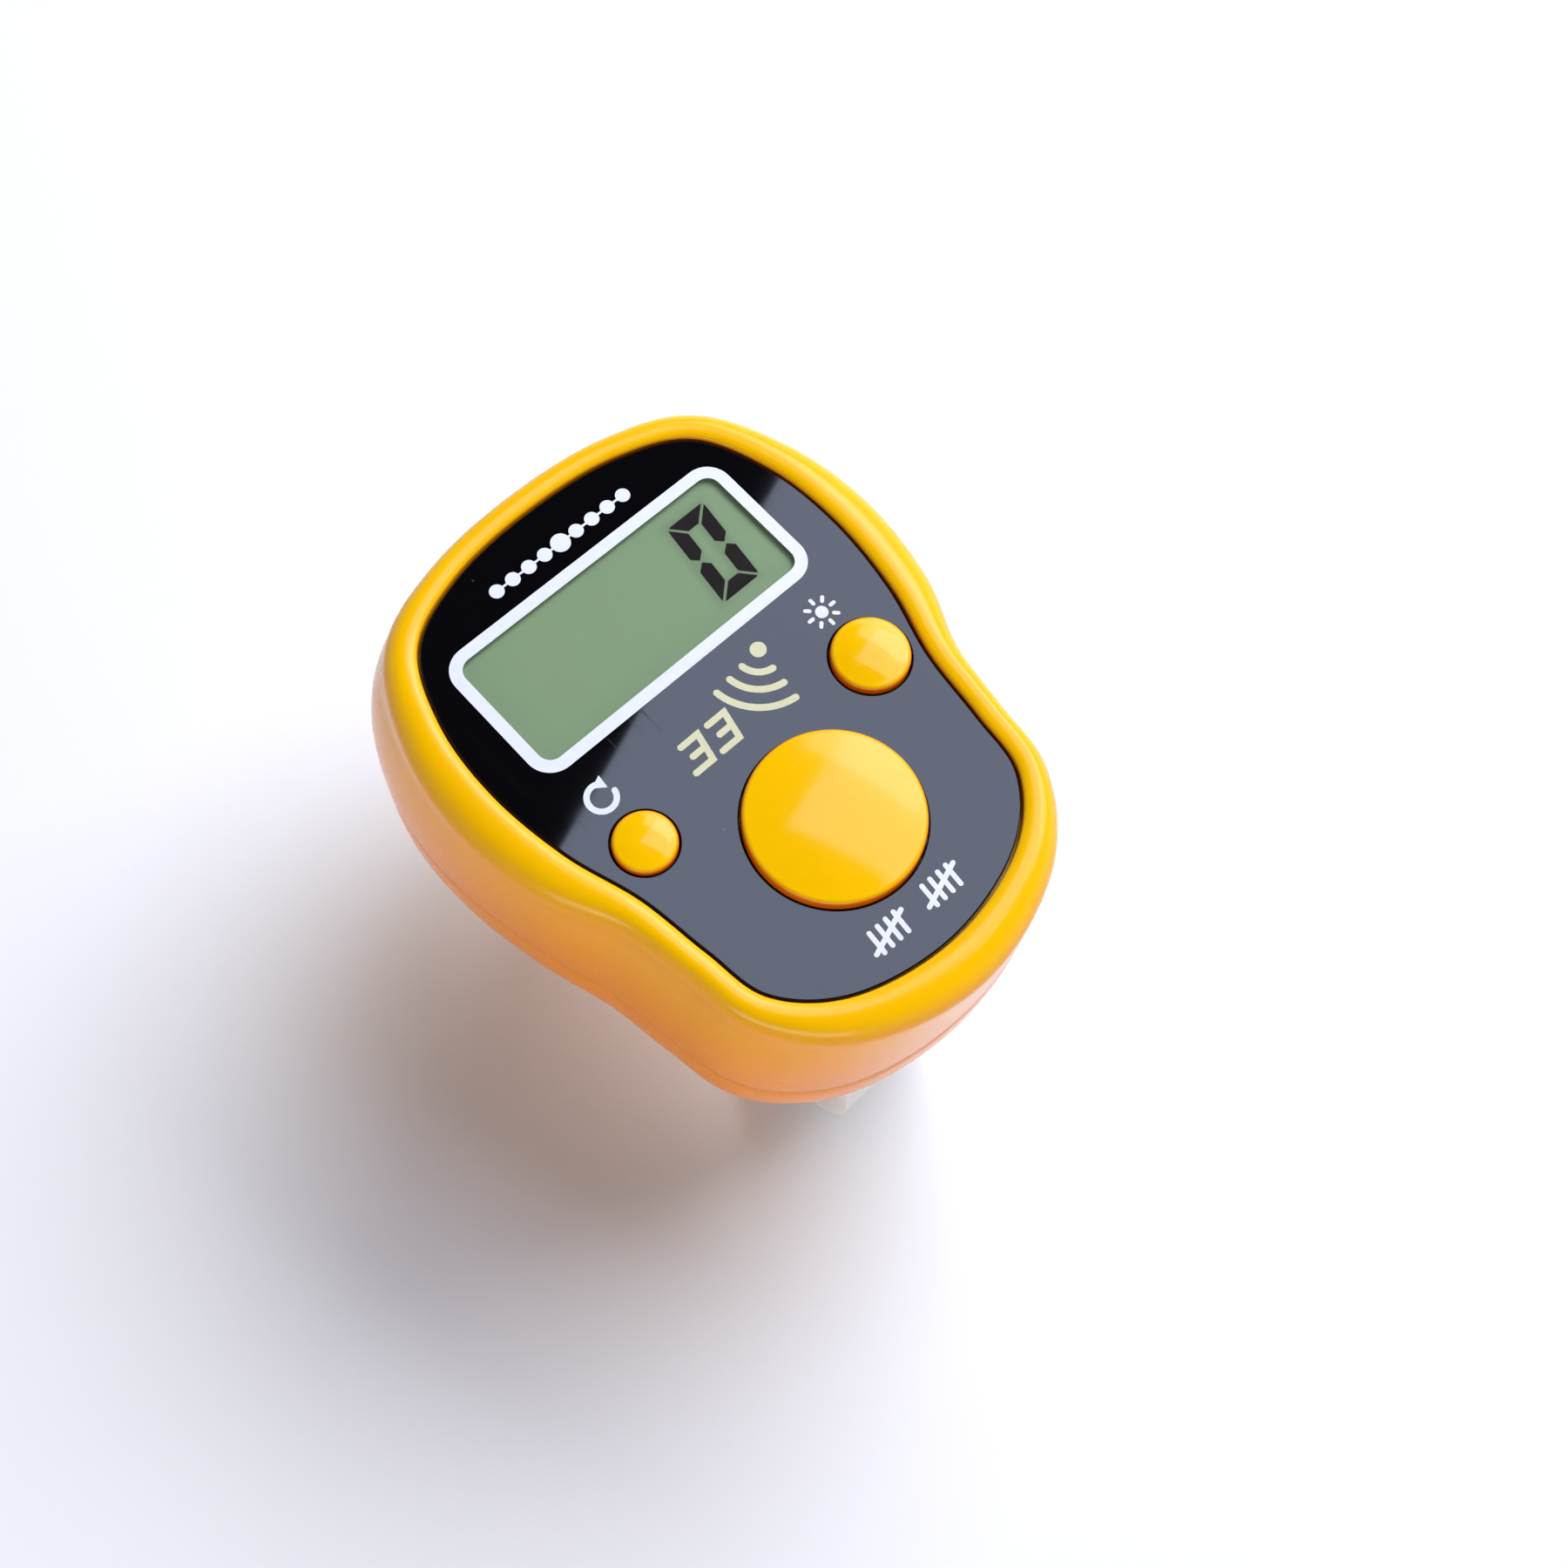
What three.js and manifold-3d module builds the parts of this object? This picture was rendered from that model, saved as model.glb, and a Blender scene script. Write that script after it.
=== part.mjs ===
// Digital finger tally counter: a moulded case with a display, three push buttons,
// the electronics inside it and a finger band hinged under its back.
// Millimetres. +X runs along the finger, +Y towards the display end, +Z out of the face.
// Levels are written downwards from the top of the face plate, which is level 0.

import * as THREE from 'three';
import { mergeVertices } from 'three/addons/utils/BufferGeometryUtils.js';
import Module from 'manifold-3d';

const wasm = await Module();
wasm.setup();

// Half of the face plate's outline, from the display end to the count end.
// Each row: x, y, width of the case's rim there, flare of the case at the parting line.
const FACE_OUTLINE = [
  [0, 18.0, 1.8, 3.3],
  [6.2, 17.35, 1.85, 3.45],
  [10.6, 15.3, 2.1, 3.7],
  [12.75, 10.8, 2.45, 3.75],
  [13.35, 5.6, 2.75, 3.55],
  [12.7, 0.0, 2.65, 3.3],
  [11.3, -4.8, 2.05, 3.3],
  [10.65, -9.4, 1.85, 3.2],
  [9.9, -13.4, 1.95, 3.0],
  [6.6, -16.5, 2.4, 2.75],
  [0, -18.0, 2.8, 2.55],
];
const OUTLINE_STEPS = 3;

// Sides of round features: broad discs, holes of a middling size, small holes
const BROAD_SIDES = 32;
const ROUND_SIDES = 20;
const SMALL_SIDES = 16;

// How far a feature is sunk into the floor it grows from, and how far a cut runs past a face
const SINK = 0.5;
const PAST = 1;

// Case
const CASE_WALL = 1.5;
const RIM_HEIGHT = 0.4;
const RIM_CROWN_OFFSET = 0.8;
const RIM_INNER_DROP = 0.35;
const RIM_SHOULDER_DEPTH = 1.3;
const PARTING_DEPTH = 9.2;
const BACK_FLOOR = 1.4;
const BACK_EDGE_RADIUS = 1.3;
const BACK_LIP_HEIGHT = 1.2;
const BACK_LIP_WALL = 0.8;

// Clearances
const SEAT_GAP = 0.1;
const LOOSE_GAP = 0.2;
const BUTTON_GAP = 0.25;
const TURNED_GAP = 0.3;

// Face plate and display
const PLATE_THICKNESS = 1.0;
const PLATE_EDGE_GAP = 0.15;
const DISPLAY_CENTRE_Y = 8.725;
const WINDOW_WIDTH = 20.4;
const WINDOW_HEIGHT = 8.9;
const WINDOW_CORNER = 1.3;
const GLASS_MARGIN = 0.5;
const GLASS_LEDGE = 2.0;
const GLASS_THICKNESS = 0.55;
const POLARISER_THICKNESS = 0.2;
const POLARISER_BORDER = 0.4;
const DIFFUSER_THICKNESS = 1.4;
const HOLDER_WALL = 0.4;
const HOLDER_HEIGHT = 4.5;
const HOLDER_LEDGE = 1.0;
const ZEBRA_WIDTH = 1.4;
const ZEBRA_END_MARGIN = 0.9;

// Buttons: place on the face, radius, height above the face, travel and switch size
const COUNT_BUTTON = {
  name: 'count', x: 0, y: -8.44, radius: 5.3, rise: 0.75, dome: 0.44, flange: 0.9, sides: 40,
};
const RESET_BUTTON = {
  name: 'reset', x: -8.85, y: -2.4, radius: 1.9, rise: 0.4, dome: 0.22, flange: 0.7, sides: 24,
};
const LIGHT_BUTTON = {
  name: 'light', x: 8.59, y: -2.51, radius: 2.4, rise: 0.55, dome: 0.28, flange: 0.7, sides: 28,
};
const BUTTON_FLANGE_THICKNESS = 0.8;
const BUTTON_EDGE_ROUND = 0.35;

// Push switches under the buttons
const COUNT_SWITCH = { width: 6.0, stem: 1.6, collar: 2.0, dome: 2.0 };
const SMALL_SWITCH = { width: 4.4, stem: 1.05, collar: 1.35, dome: 1.35 };
const SWITCH_COLLAR_GAP = 0.35;
const SWITCH_COVER_THICKNESS = 0.3;
const SWITCH_FLOOR = 0.7;
const SWITCH_STEM_RISE = 0.7;
const SWITCH_COLLAR_THICKNESS = 0.5;
const SWITCH_NOSE = 0.7;
const SWITCH_DOME_HEIGHT = 0.7;
const SWITCH_DOME_SHEET = 0.12;

// Circuit board and what it carries
const BOARD_THICKNESS = 0.8;
const BOARD_EDGE_GAP = 0.4;
const CHIP_PLACE = [0, -3.0];
const CHIP_RADIUS = 3.2;
const CHIP_HEIGHT = 1.2;
const SMALL_PART = { length: 1.6, width: 0.8, height: 0.55 };
const SMALL_PART_ROW_Y = -1.5;
const SMALL_PART_PITCH = 2.3;
const BACKLIGHT_SPACING = 11.0;
const TRANSISTOR = { x: 6.4, y: -6.2, length: 2.9, width: 1.3, height: 1.0 };

// Case screws, one pair near each end
const SCREW_PLACES = [[8.4, 16.3], [8.4, -10.6]];
const SCREW_RADIUS = 0.8;
const SCREW_HEAD_RADIUS = 1.6;
const SCREW_HEAD_HEIGHT = 0.8;
const SCREW_LENGTH = 7.6;
const SCREW_RECESS_DEPTH = 1.1;
const BOSS_WALL = 0.8;
const POST_WALL = 1.0;

// Button cells and their contacts
const CELL_RADIUS = 5.8;
const CELL_HEIGHT = 3.05;
const CELL_CHAMFER = 0.25;
const CELL_CAP_RADIUS = 4.7;
const CELL_SPACING = 12.2;
const CELL_Y = 8.0;
const CONTACT_SHEET = 0.25;
const CONTACT_ROOM = 0.8;
const CONTACT_WIDTH = 3.0;
const LEAF_CONTACT = { root: 2.0, bend: 4.0, touch: 7.0, tip: 8.4 };
const BRIDGE_WIDTH = 5.0;
const CRADLE_WALL = 0.8;
const CRADLE_HEIGHT = 2.0;

// Sounder
const SOUNDER_PLACE = [0, -8.0];
const SOUNDER_RADIUS = 6.0;
const SOUNDER_SHEET = 0.3;
const CERAMIC_RADIUS = 4.5;
const CERAMIC_SHEET = 0.25;
const WIRE_DIAMETER = 0.8;
const WIRE_ASIDE = 1.2;

// Finger band, its hinge pin and the peg that its tab hooks onto
const FINGER_ROOM = 18.8;
const BAND_THICKNESS = 1.3;
const BAND_WIDTH = 12.0;
const BAND_REACH = 17.9;
const BAND_FAR_REACH = 12.8;
const BAND_FLAT_HALF = 5.5;
const BAND_TAB_BEND = 1.8;
const BAND_BEND_STEPS = 10;
const QUARTER_BEND = 0.5523;
const BAND_TAB_END = 18.6;
const BAND_TAB_CORNER = 4.0;
const PIN_INSET = 2.9;
const PIN_RADIUS = 0.6;
const BARREL_RADIUS = 1.7;
const LUG_THICKNESS = 1.5;
const PEG_Y = 15.8;
const PEG_RADIUS = 1.0;
const PEG_TIP = 0.5;

// Levels, worked out from the sizes above
const plateBottom = -PLATE_THICKNESS;
const frontFilmTop = plateBottom - SEAT_GAP;
const frontGlassTop = frontFilmTop - POLARISER_THICKNESS;
const rearGlassTop = frontGlassTop - GLASS_THICKNESS;
const holderTop = rearGlassTop - GLASS_THICKNESS;
const deckBottom = holderTop + LOOSE_GAP;
const boardTop = holderTop - HOLDER_HEIGHT;
const boardBottom = boardTop - BOARD_THICKNESS;
const flangeTop = deckBottom - SEAT_GAP;
const flangeBottom = flangeTop - BUTTON_FLANGE_THICKNESS;
const stemTop = flangeBottom - SEAT_GAP;
const coverTop = stemTop - SWITCH_STEM_RISE;
const coverBottom = coverTop - SWITCH_COVER_THICKNESS;
const switchFloorTop = boardTop + SWITCH_FLOOR;
const cellTop = boardBottom - CONTACT_ROOM;
const cellBottom = cellTop - CELL_HEIGHT;
const floorTop = cellBottom - CONTACT_SHEET;
const backLevel = floorTop - BACK_FLOOR;
const rimShoulder = -RIM_SHOULDER_DEPTH;
const parting = -PARTING_DEPTH;
const bandBottom = backLevel - FINGER_ROOM - BAND_THICKNESS;
const pinLevel = backLevel - BARREL_RADIUS - LOOSE_GAP;
const glassHalf = WINDOW_WIDTH / 2 + GLASS_MARGIN;
const glassTopY = DISPLAY_CENTRE_Y + WINDOW_HEIGHT / 2 + GLASS_MARGIN;
const ledgeTopY = DISPLAY_CENTRE_Y - WINDOW_HEIGHT / 2;
const glassBottomY = ledgeTopY - GLASS_LEDGE;
const filmHalf = glassHalf - POLARISER_BORDER;
const boreRadius = SCREW_RADIUS + TURNED_GAP;
const pinY = -BAND_REACH + PIN_INSET;

const FINISH = {
  amber: { color: 0xf5a81c, roughness: 0.25, metalness: 0 },
  black: { color: 0x0d0a11, roughness: 0.12, metalness: 0 },
  clear: { color: 0xdfe8e4, roughness: 0.05, metalness: 0, transparent: true, opacity: 0.35 },
  film: { color: 0x84997c, roughness: 0.35, metalness: 0 },
  white: { color: 0xe8e8e4, roughness: 0.5, metalness: 0 },
  rubber: { color: 0x2a2a2c, roughness: 0.8, metalness: 0 },
  board: { color: 0x1f6b3a, roughness: 0.5, metalness: 0 },
  resin: { color: 0x151515, roughness: 0.4, metalness: 0 },
  steel: { color: 0xc4c6c8, roughness: 0.3, metalness: 1 },
  brass: { color: 0xc9a24e, roughness: 0.35, metalness: 1 },
  ceramic: { color: 0xd9d6cc, roughness: 0.45, metalness: 0 },
  band: { color: 0xcec7c8, roughness: 0.4, metalness: 0 },
};

const counter = new THREE.Group();

// Solids from geometry, and back again

function solid(geometry) {
  const bare = geometry.clone();
  bare.deleteAttribute('normal');
  bare.deleteAttribute('uv');
  const merged = mergeVertices(bare, 1e-4);
  const position = merged.getAttribute('position');
  const corners = merged.getIndex().array;
  const triangles = [];
  let volume = 0;
  const [a, b, c] = [new THREE.Vector3(), new THREE.Vector3(), new THREE.Vector3()];
  for (let i = 0; i < corners.length; i += 3) {
    const [p, q, r] = [corners[i], corners[i + 1], corners[i + 2]];
    if (p === q || q === r || r === p) continue;
    triangles.push([p, q, r]);
    a.fromBufferAttribute(position, p);
    b.fromBufferAttribute(position, q);
    c.fromBufferAttribute(position, r);
    volume += a.dot(b.cross(c));
  }
  if (volume < 0) triangles.forEach((triangle) => triangle.reverse());
  return new wasm.Manifold(new wasm.Mesh({
    numProp: 3,
    vertProperties: new Float32Array(position.array),
    triVerts: new Uint32Array(triangles.flat()),
  }));
}

function add(name, shape, finish) {
  const mesh = shape.getMesh();
  const geometry = new THREE.BufferGeometry();
  geometry.setAttribute('position', new THREE.BufferAttribute(new Float32Array(mesh.vertProperties), 3));
  geometry.setIndex(new THREE.BufferAttribute(new Uint32Array(mesh.triVerts), 1));
  geometry.computeVertexNormals();
  const material = new THREE.MeshStandardMaterial({ ...finish, flatShading: true });
  const part = new THREE.Mesh(geometry, material);
  part.name = name;
  counter.add(part);
}

function block([x0, x1], [y0, y1], [z0, z1]) {
  const geometry = new THREE.BoxGeometry(x1 - x0, y1 - y0, z1 - z0);
  return solid(geometry.translate((x0 + x1) / 2, (y0 + y1) / 2, (z0 + z1) / 2));
}

function disc(radius, [z0, z1], [x, y], sides = ROUND_SIDES) {
  const geometry = new THREE.CylinderGeometry(radius, radius, z1 - z0, sides);
  return solid(geometry.rotateX(Math.PI / 2).translate(x, y, (z0 + z1) / 2));
}

function prism(shape, [z0, z1], curveSegments = 4) {
  const options = { depth: z1 - z0, bevelEnabled: false, curveSegments };
  return solid(new THREE.ExtrudeGeometry(shape, options).translate(0, 0, z0));
}

function turned(profile, [x, y, z], sides = ROUND_SIDES) {
  const points = profile.map(([radius, height]) => new THREE.Vector2(radius, height));
  return solid(new THREE.LatheGeometry(points, sides).rotateX(Math.PI / 2).translate(x, y, z));
}

// A side profile drawn in Y and Z, given its width along X
function crosswise(shape, [x0, x1], curveSegments = 8) {
  const options = { depth: x1 - x0, bevelEnabled: false, curveSegments };
  const turn = new THREE.Matrix4().makeBasis(
    new THREE.Vector3(0, 1, 0), new THREE.Vector3(0, 0, 1), new THREE.Vector3(1, 0, 0),
  );
  return solid(new THREE.ExtrudeGeometry(shape, options).applyMatrix4(turn).translate(x0, 0, 0));
}

function roundedRectangle([x0, x1], [y0, y1], radius) {
  const shape = new THREE.Shape();
  shape.absarc(x1 - radius, y0 + radius, radius, -Math.PI / 2, 0);
  shape.absarc(x1 - radius, y1 - radius, radius, 0, Math.PI / 2);
  shape.absarc(x0 + radius, y1 - radius, radius, Math.PI / 2, Math.PI);
  shape.absarc(x0 + radius, y0 + radius, radius, Math.PI, Math.PI * 1.5);
  return shape;
}

function circle(x, y, radius) {
  return new THREE.Shape().absarc(x, y, radius, 0, Math.PI * 2);
}

function arc(steps, point) {
  return Array.from({ length: steps + 1 }, (_, i) => point((Math.PI / 2) * (i / steps)));
}

function grow([low, high], margin) {
  return [low - margin, high + margin];
}

// The case's outline: a smooth closed curve with its outward normal and wall values

const outline = sampleOutline();

function sampleOutline() {
  const otherSide = FACE_OUTLINE.slice(1, -1).map(([x, y, rim, flare]) => [-x, y, rim, flare]);
  const stations = [...FACE_OUTLINE, ...otherSide.reverse()].reverse();
  const path = stations.map(([x, y]) => new THREE.Vector3(x, y, 0));
  const widths = stations.map(([, , rim, flare]) => new THREE.Vector3(rim, flare, 0));
  const edge = new THREE.CatmullRomCurve3(path, true, 'centripetal');
  const wall = new THREE.CatmullRomCurve3(widths, true, 'catmullrom', 0.5);
  const count = stations.length * OUTLINE_STEPS;
  return Array.from({ length: count }, (_, i) => {
    const place = edge.getPoint(i / count);
    const along = edge.getTangent(i / count);
    const width = wall.getPoint(i / count);
    return {
      x: place.x, y: place.y, nx: along.y, ny: -along.x, rim: width.x, flare: width.y,
    };
  });
}

function ring(offset, z) {
  return outline.map((point) => new THREE.Vector3(
    point.x + point.nx * offset(point), point.y + point.ny * offset(point), z,
  ));
}

// A closed solid through rings of equal count, with a fan over each end
function loft(rings) {
  const count = outline.length;
  const centre = (level) => new THREE.Vector3(0, 0, level[0].z);
  const points = [...rings.flat(), centre(rings[0]), centre(rings[rings.length - 1])];
  const corners = [];
  for (let i = 0; i < count; i += 1) {
    const next = (i + 1) % count;
    for (let level = 0; level < rings.length - 1; level += 1) {
      const low = level * count;
      const high = low + count;
      corners.push(low + i, low + next, high + next, low + i, high + next, high + i);
    }
    const last = (rings.length - 1) * count;
    corners.push(rings.length * count, next, i);
    corners.push(rings.length * count + 1, last + i, last + next);
  }
  const geometry = new THREE.BufferGeometry().setFromPoints(points);
  return solid(geometry.setIndex(corners));
}

// Offset of the case's outer wall from the face outline at a level below the rim's shoulder
function wallOffset(point, z) {
  const fall = Math.min(1, (rimShoulder - z) / (rimShoulder - parting));
  return point.rim + (point.flare - point.rim) * (1 - (1 - fall) ** 2);
}

function innerRing(gap, z) {
  return ring((point) => wallOffset(point, Math.min(z, rimShoulder)) - CASE_WALL - gap, z);
}

function slabInside(gap, [z0, z1]) {
  return loft([innerRing(gap, z0), innerRing(gap, z1)]);
}

const screwPlaces = SCREW_PLACES.flatMap(([x, y]) => [[x, y], [-x, y]]);
const buttons = [COUNT_BUTTON, RESET_BUTTON, LIGHT_BUTTON];

function caseTop() {
  const edgeLevel = RIM_HEIGHT - RIM_INNER_DROP;
  const outside = [1, 0.66, 0.33].map((fall) => rimShoulder + (parting - rimShoulder) * fall)
    .map((z) => ring((point) => wallOffset(point, z), z));
  const overRim = arc(4, (turn) => ring(
    (point) => RIM_CROWN_OFFSET + (point.rim - RIM_CROWN_OFFSET) * Math.cos(turn),
    rimShoulder + (RIM_HEIGHT - rimShoulder) * Math.sin(turn),
  ));
  const intoRecess = arc(2, (turn) => ring(
    () => RIM_CROWN_OFFSET * (1 - Math.sin(turn)),
    edgeLevel + RIM_INNER_DROP * Math.cos(turn),
  )).slice(1);
  const recessFloor = ring(() => 0, plateBottom);
  const inside = [parting - CASE_WALL, (parting + deckBottom) / 2, deckBottom]
    .map((z) => innerRing(0, z));
  let shell = loft([...outside, ...overRim, ...intoRecess, recessFloor]).subtract(loft(inside));
  for (const [x, y] of screwPlaces) {
    shell = shell.add(disc(boreRadius + BOSS_WALL, [boardTop, deckBottom], [x, y], SMALL_SIDES));
    const boreEnd = backLevel + SCREW_RECESS_DEPTH + SCREW_LENGTH + TURNED_GAP;
    shell = shell.subtract(disc(boreRadius, [boardTop - PAST, boreEnd], [x, y], SMALL_SIDES));
  }
  shell = shell.subtract(block(
    grow([-glassHalf, glassHalf], BUTTON_GAP), grow([glassBottomY, glassTopY], BUTTON_GAP),
    [deckBottom - PAST, plateBottom + PAST],
  ));
  for (const button of buttons) {
    shell = shell.subtract(buttonHole(button));
  }
  add('top_shell', shell, FINISH.amber);
}

function buttonHole({ x, y, radius, sides }) {
  return disc(radius + BUTTON_GAP, [flangeBottom, RIM_HEIGHT], [x, y], sides);
}

function facePlate() {
  const edge = ring(() => -PLATE_EDGE_GAP, 0).map(({ x, y }) => new THREE.Vector2(x, y));
  let plate = prism(new THREE.Shape(edge), [plateBottom, 0]);
  for (const button of buttons) {
    plate = plate.subtract(buttonHole(button));
  }
  const halfWidth = WINDOW_WIDTH / 2;
  const across = [-halfWidth, halfWidth];
  const up = grow([DISPLAY_CENTRE_Y, DISPLAY_CENTRE_Y], WINDOW_HEIGHT / 2);
  const cut = roundedRectangle(across, up, WINDOW_CORNER);
  add('face_plate', plate.subtract(prism(cut, [plateBottom - PAST, PAST])), FINISH.black);
  const pane = roundedRectangle(grow(across, -SEAT_GAP), grow(up, -SEAT_GAP), WINDOW_CORNER - SEAT_GAP);
  add('display_window', prism(pane, [plateBottom, 0]), FINISH.clear);
}

function display() {
  const glassAcross = [-glassHalf, glassHalf];
  const filmAcross = [-filmHalf, filmHalf];
  const filmUp = [ledgeTopY + POLARISER_BORDER, glassTopY - POLARISER_BORDER];
  const layer = (top, thickness) => [top - thickness, top];
  const film = (name, top) => add(
    name, block(filmAcross, filmUp, layer(top, POLARISER_THICKNESS)), FINISH.film,
  );
  film('lcd_front_polariser', frontFilmTop);
  add('lcd_front_glass', block(
    glassAcross, [glassBottomY, glassTopY], layer(frontGlassTop, GLASS_THICKNESS),
  ), FINISH.clear);
  add('lcd_rear_glass', block(
    glassAcross, [ledgeTopY, glassTopY], layer(rearGlassTop, GLASS_THICKNESS),
  ), FINISH.clear);
  film('lcd_rear_polariser', holderTop);
  const diffuserTop = holderTop - POLARISER_THICKNESS;
  add('backlight_diffuser', block(
    filmAcross, filmUp, layer(diffuserTop, DIFFUSER_THICKNESS),
  ), FINISH.white);

  const pocketFloor = diffuserTop - DIFFUSER_THICKNESS - SEAT_GAP;
  const pocketAcross = grow(filmAcross, LOOSE_GAP);
  const pocketUp = grow(filmUp, LOOSE_GAP);
  const zebraHalf = glassHalf - ZEBRA_END_MARGIN;
  const zebraY = [ledgeTopY - LOOSE_GAP - ZEBRA_WIDTH, ledgeTopY - LOOSE_GAP];
  const zebraSlotY = [zebraY[0] - LOOSE_GAP, zebraY[1] + SEAT_GAP];
  const through = grow([boardTop, holderTop], PAST);
  const holder = block(
    grow(glassAcross, HOLDER_WALL), grow([glassBottomY, glassTopY], HOLDER_WALL), [boardTop, holderTop],
  )
    .subtract(block(pocketAcross, pocketUp, [pocketFloor, holderTop + PAST]))
    .subtract(block(grow(pocketAcross, -HOLDER_LEDGE), grow(pocketUp, -HOLDER_LEDGE), through))
    .subtract(block([-zebraHalf - LOOSE_GAP, zebraHalf + LOOSE_GAP], zebraSlotY, through));
  add('lcd_holder', holder, FINISH.white);
  add('zebra_strip', block([-zebraHalf, zebraHalf], zebraY, [boardTop, rearGlassTop]), FINISH.rubber);
}

function pushButton({ name, x, y, radius, rise, dome, flange, sides }) {
  const skirt = radius + BUTTON_GAP + flange;
  const edge = arc(3, (turn) => [
    radius - BUTTON_EDGE_ROUND * (1 - Math.cos(turn)), rise - BUTTON_EDGE_ROUND * (1 - Math.sin(turn)),
  ]);
  const flat = radius - BUTTON_EDGE_ROUND;
  const crown = [0.66, 0.33, 0].map((share) => [flat * share, rise + dome * (1 - share ** 2)]);
  const profile = [
    [0, flangeBottom], [skirt, flangeBottom], [skirt, flangeTop], [radius, flangeTop], ...edge, ...crown,
  ];
  add(`${name}_button`, turned(profile, [x, y, 0], sides), FINISH.amber);
}

function pushSwitch({ name, x, y }, size) {
  const half = size.width / 2;
  const across = [x - half, x + half];
  const up = [y - half, y + half];
  const cavity = size.collar + SWITCH_COLLAR_GAP;
  const base = block(across, up, [boardTop, coverBottom])
    .subtract(disc(cavity, [switchFloorTop, coverBottom + PAST], [x, y]));
  add(`${name}_switch_base`, base, FINISH.resin);
  const cover = block(across, up, [coverBottom, coverTop])
    .subtract(disc(size.stem + TURNED_GAP, grow([coverBottom, coverTop], PAST), [x, y]));
  add(`${name}_switch_cover`, cover, FINISH.steel);

  const sheet = SWITCH_DOME_SHEET;
  const bulge = (inset) => arc(4, (turn) => [
    (size.dome - inset) * Math.cos(turn), (SWITCH_DOME_HEIGHT - inset) * Math.sin(turn),
  ]);
  const domeProfile = [...bulge(sheet).reverse(), ...bulge(0)];
  domeProfile[0][0] = 0;
  domeProfile[domeProfile.length - 1][0] = 0;
  add(`${name}_switch_dome`, turned(domeProfile, [x, y, switchFloorTop]), FINISH.steel);

  const noseEnd = switchFloorTop + SWITCH_DOME_HEIGHT + SEAT_GAP;
  const collarTop = coverBottom - TURNED_GAP;
  const collarBottom = collarTop - SWITCH_COLLAR_THICKNESS;
  const plunger = [
    [0, noseEnd], [SWITCH_NOSE, noseEnd], [SWITCH_NOSE, collarBottom], [size.collar, collarBottom],
    [size.collar, collarTop], [size.stem, collarTop], [size.stem, stemTop], [0, stemTop],
  ];
  add(`${name}_plunger`, turned(plunger, [x, y, 0]), FINISH.white);
}

function circuitBoard() {
  let board = slabInside(BOARD_EDGE_GAP, [boardBottom, boardTop]);
  for (const place of screwPlaces) {
    board = board.subtract(disc(boreRadius, grow([boardBottom, boardTop], PAST), place, SMALL_SIDES));
  }
  add('circuit_board', board, FINISH.board);

  const blob = arc(4, (turn) => [CHIP_RADIUS * Math.cos(turn), -CHIP_HEIGHT * Math.sin(turn)]);
  blob[blob.length - 1][0] = 0;
  add('chip_blob', turned([[0, 0], ...blob], [...CHIP_PLACE, boardBottom]), FINISH.resin);

  const { length, width, height } = SMALL_PART;
  const chip = (name, x, y, finish) => add(name, block(
    grow([x, x], length / 2), grow([y, y], width / 2), [boardTop, boardTop + height],
  ), finish);
  ['resistor_1', 'resistor_2', 'capacitor_1', 'capacitor_2'].forEach((name, i) => {
    const finish = name.startsWith('resistor') ? FINISH.resin : FINISH.ceramic;
    chip(name, (i - 1.5) * SMALL_PART_PITCH, SMALL_PART_ROW_Y, finish);
  });
  chip('backlight_led_left', -BACKLIGHT_SPACING / 2, DISPLAY_CENTRE_Y, FINISH.white);
  chip('backlight_led_right', BACKLIGHT_SPACING / 2, DISPLAY_CENTRE_Y, FINISH.white);

  const { x, y } = TRANSISTOR;
  add('sounder_transistor', block(
    grow([x, x], TRANSISTOR.width / 2), grow([y, y], TRANSISTOR.length / 2),
    [boardBottom - TRANSISTOR.height, boardBottom],
  ), FINISH.resin);
}

function cells() {
  const canTop = CELL_HEIGHT - CELL_CHAMFER;
  const profile = [
    [0, 0], [CELL_RADIUS - CELL_CHAMFER, 0], [CELL_RADIUS, CELL_CHAMFER],
    [CELL_RADIUS, canTop - CELL_CHAMFER], [CELL_RADIUS - CELL_CHAMFER, canTop],
    [CELL_CAP_RADIUS, canTop], [CELL_CAP_RADIUS, CELL_HEIGHT], [0, CELL_HEIGHT],
  ];
  const half = CELL_SPACING / 2;
  add('cell_left', turned(profile, [-half, CELL_Y, cellBottom], BROAD_SIDES), FINISH.steel);
  add('cell_right', turned(profile, [half, CELL_Y, cellBottom], BROAD_SIDES), FINISH.steel);
  add('cell_bridge_contact', block(
    grow([-half, half], CONTACT_WIDTH), grow([CELL_Y, CELL_Y], BRIDGE_WIDTH / 2),
    [floorTop, floorTop + CONTACT_SHEET],
  ), FINISH.brass);
  leafContact('negative_contact', -1);
  leafContact('positive_contact', 1);
}

// A sheet-metal finger under the board that bends down to touch a cell
function leafContact(name, side) {
  const { root, bend, touch, tip } = LEAF_CONTACT;
  const low = cellTop + SEAT_GAP;
  const outlinePoints = [
    [root, boardBottom], [bend, boardBottom], [touch, low + CONTACT_SHEET],
    [tip, low + 2 * CONTACT_SHEET], [tip, low + CONTACT_SHEET], [touch, low],
    [bend, boardBottom - CONTACT_SHEET], [root, boardBottom - CONTACT_SHEET],
  ].map(([x, z]) => new THREE.Vector2(side * x, z));
  const options = { depth: CONTACT_WIDTH, bevelEnabled: false };
  const geometry = new THREE.ExtrudeGeometry(new THREE.Shape(outlinePoints), options)
    .rotateX(Math.PI / 2).translate(0, CELL_Y + CONTACT_WIDTH / 2, 0);
  add(name, solid(geometry), FINISH.brass);
}

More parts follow.
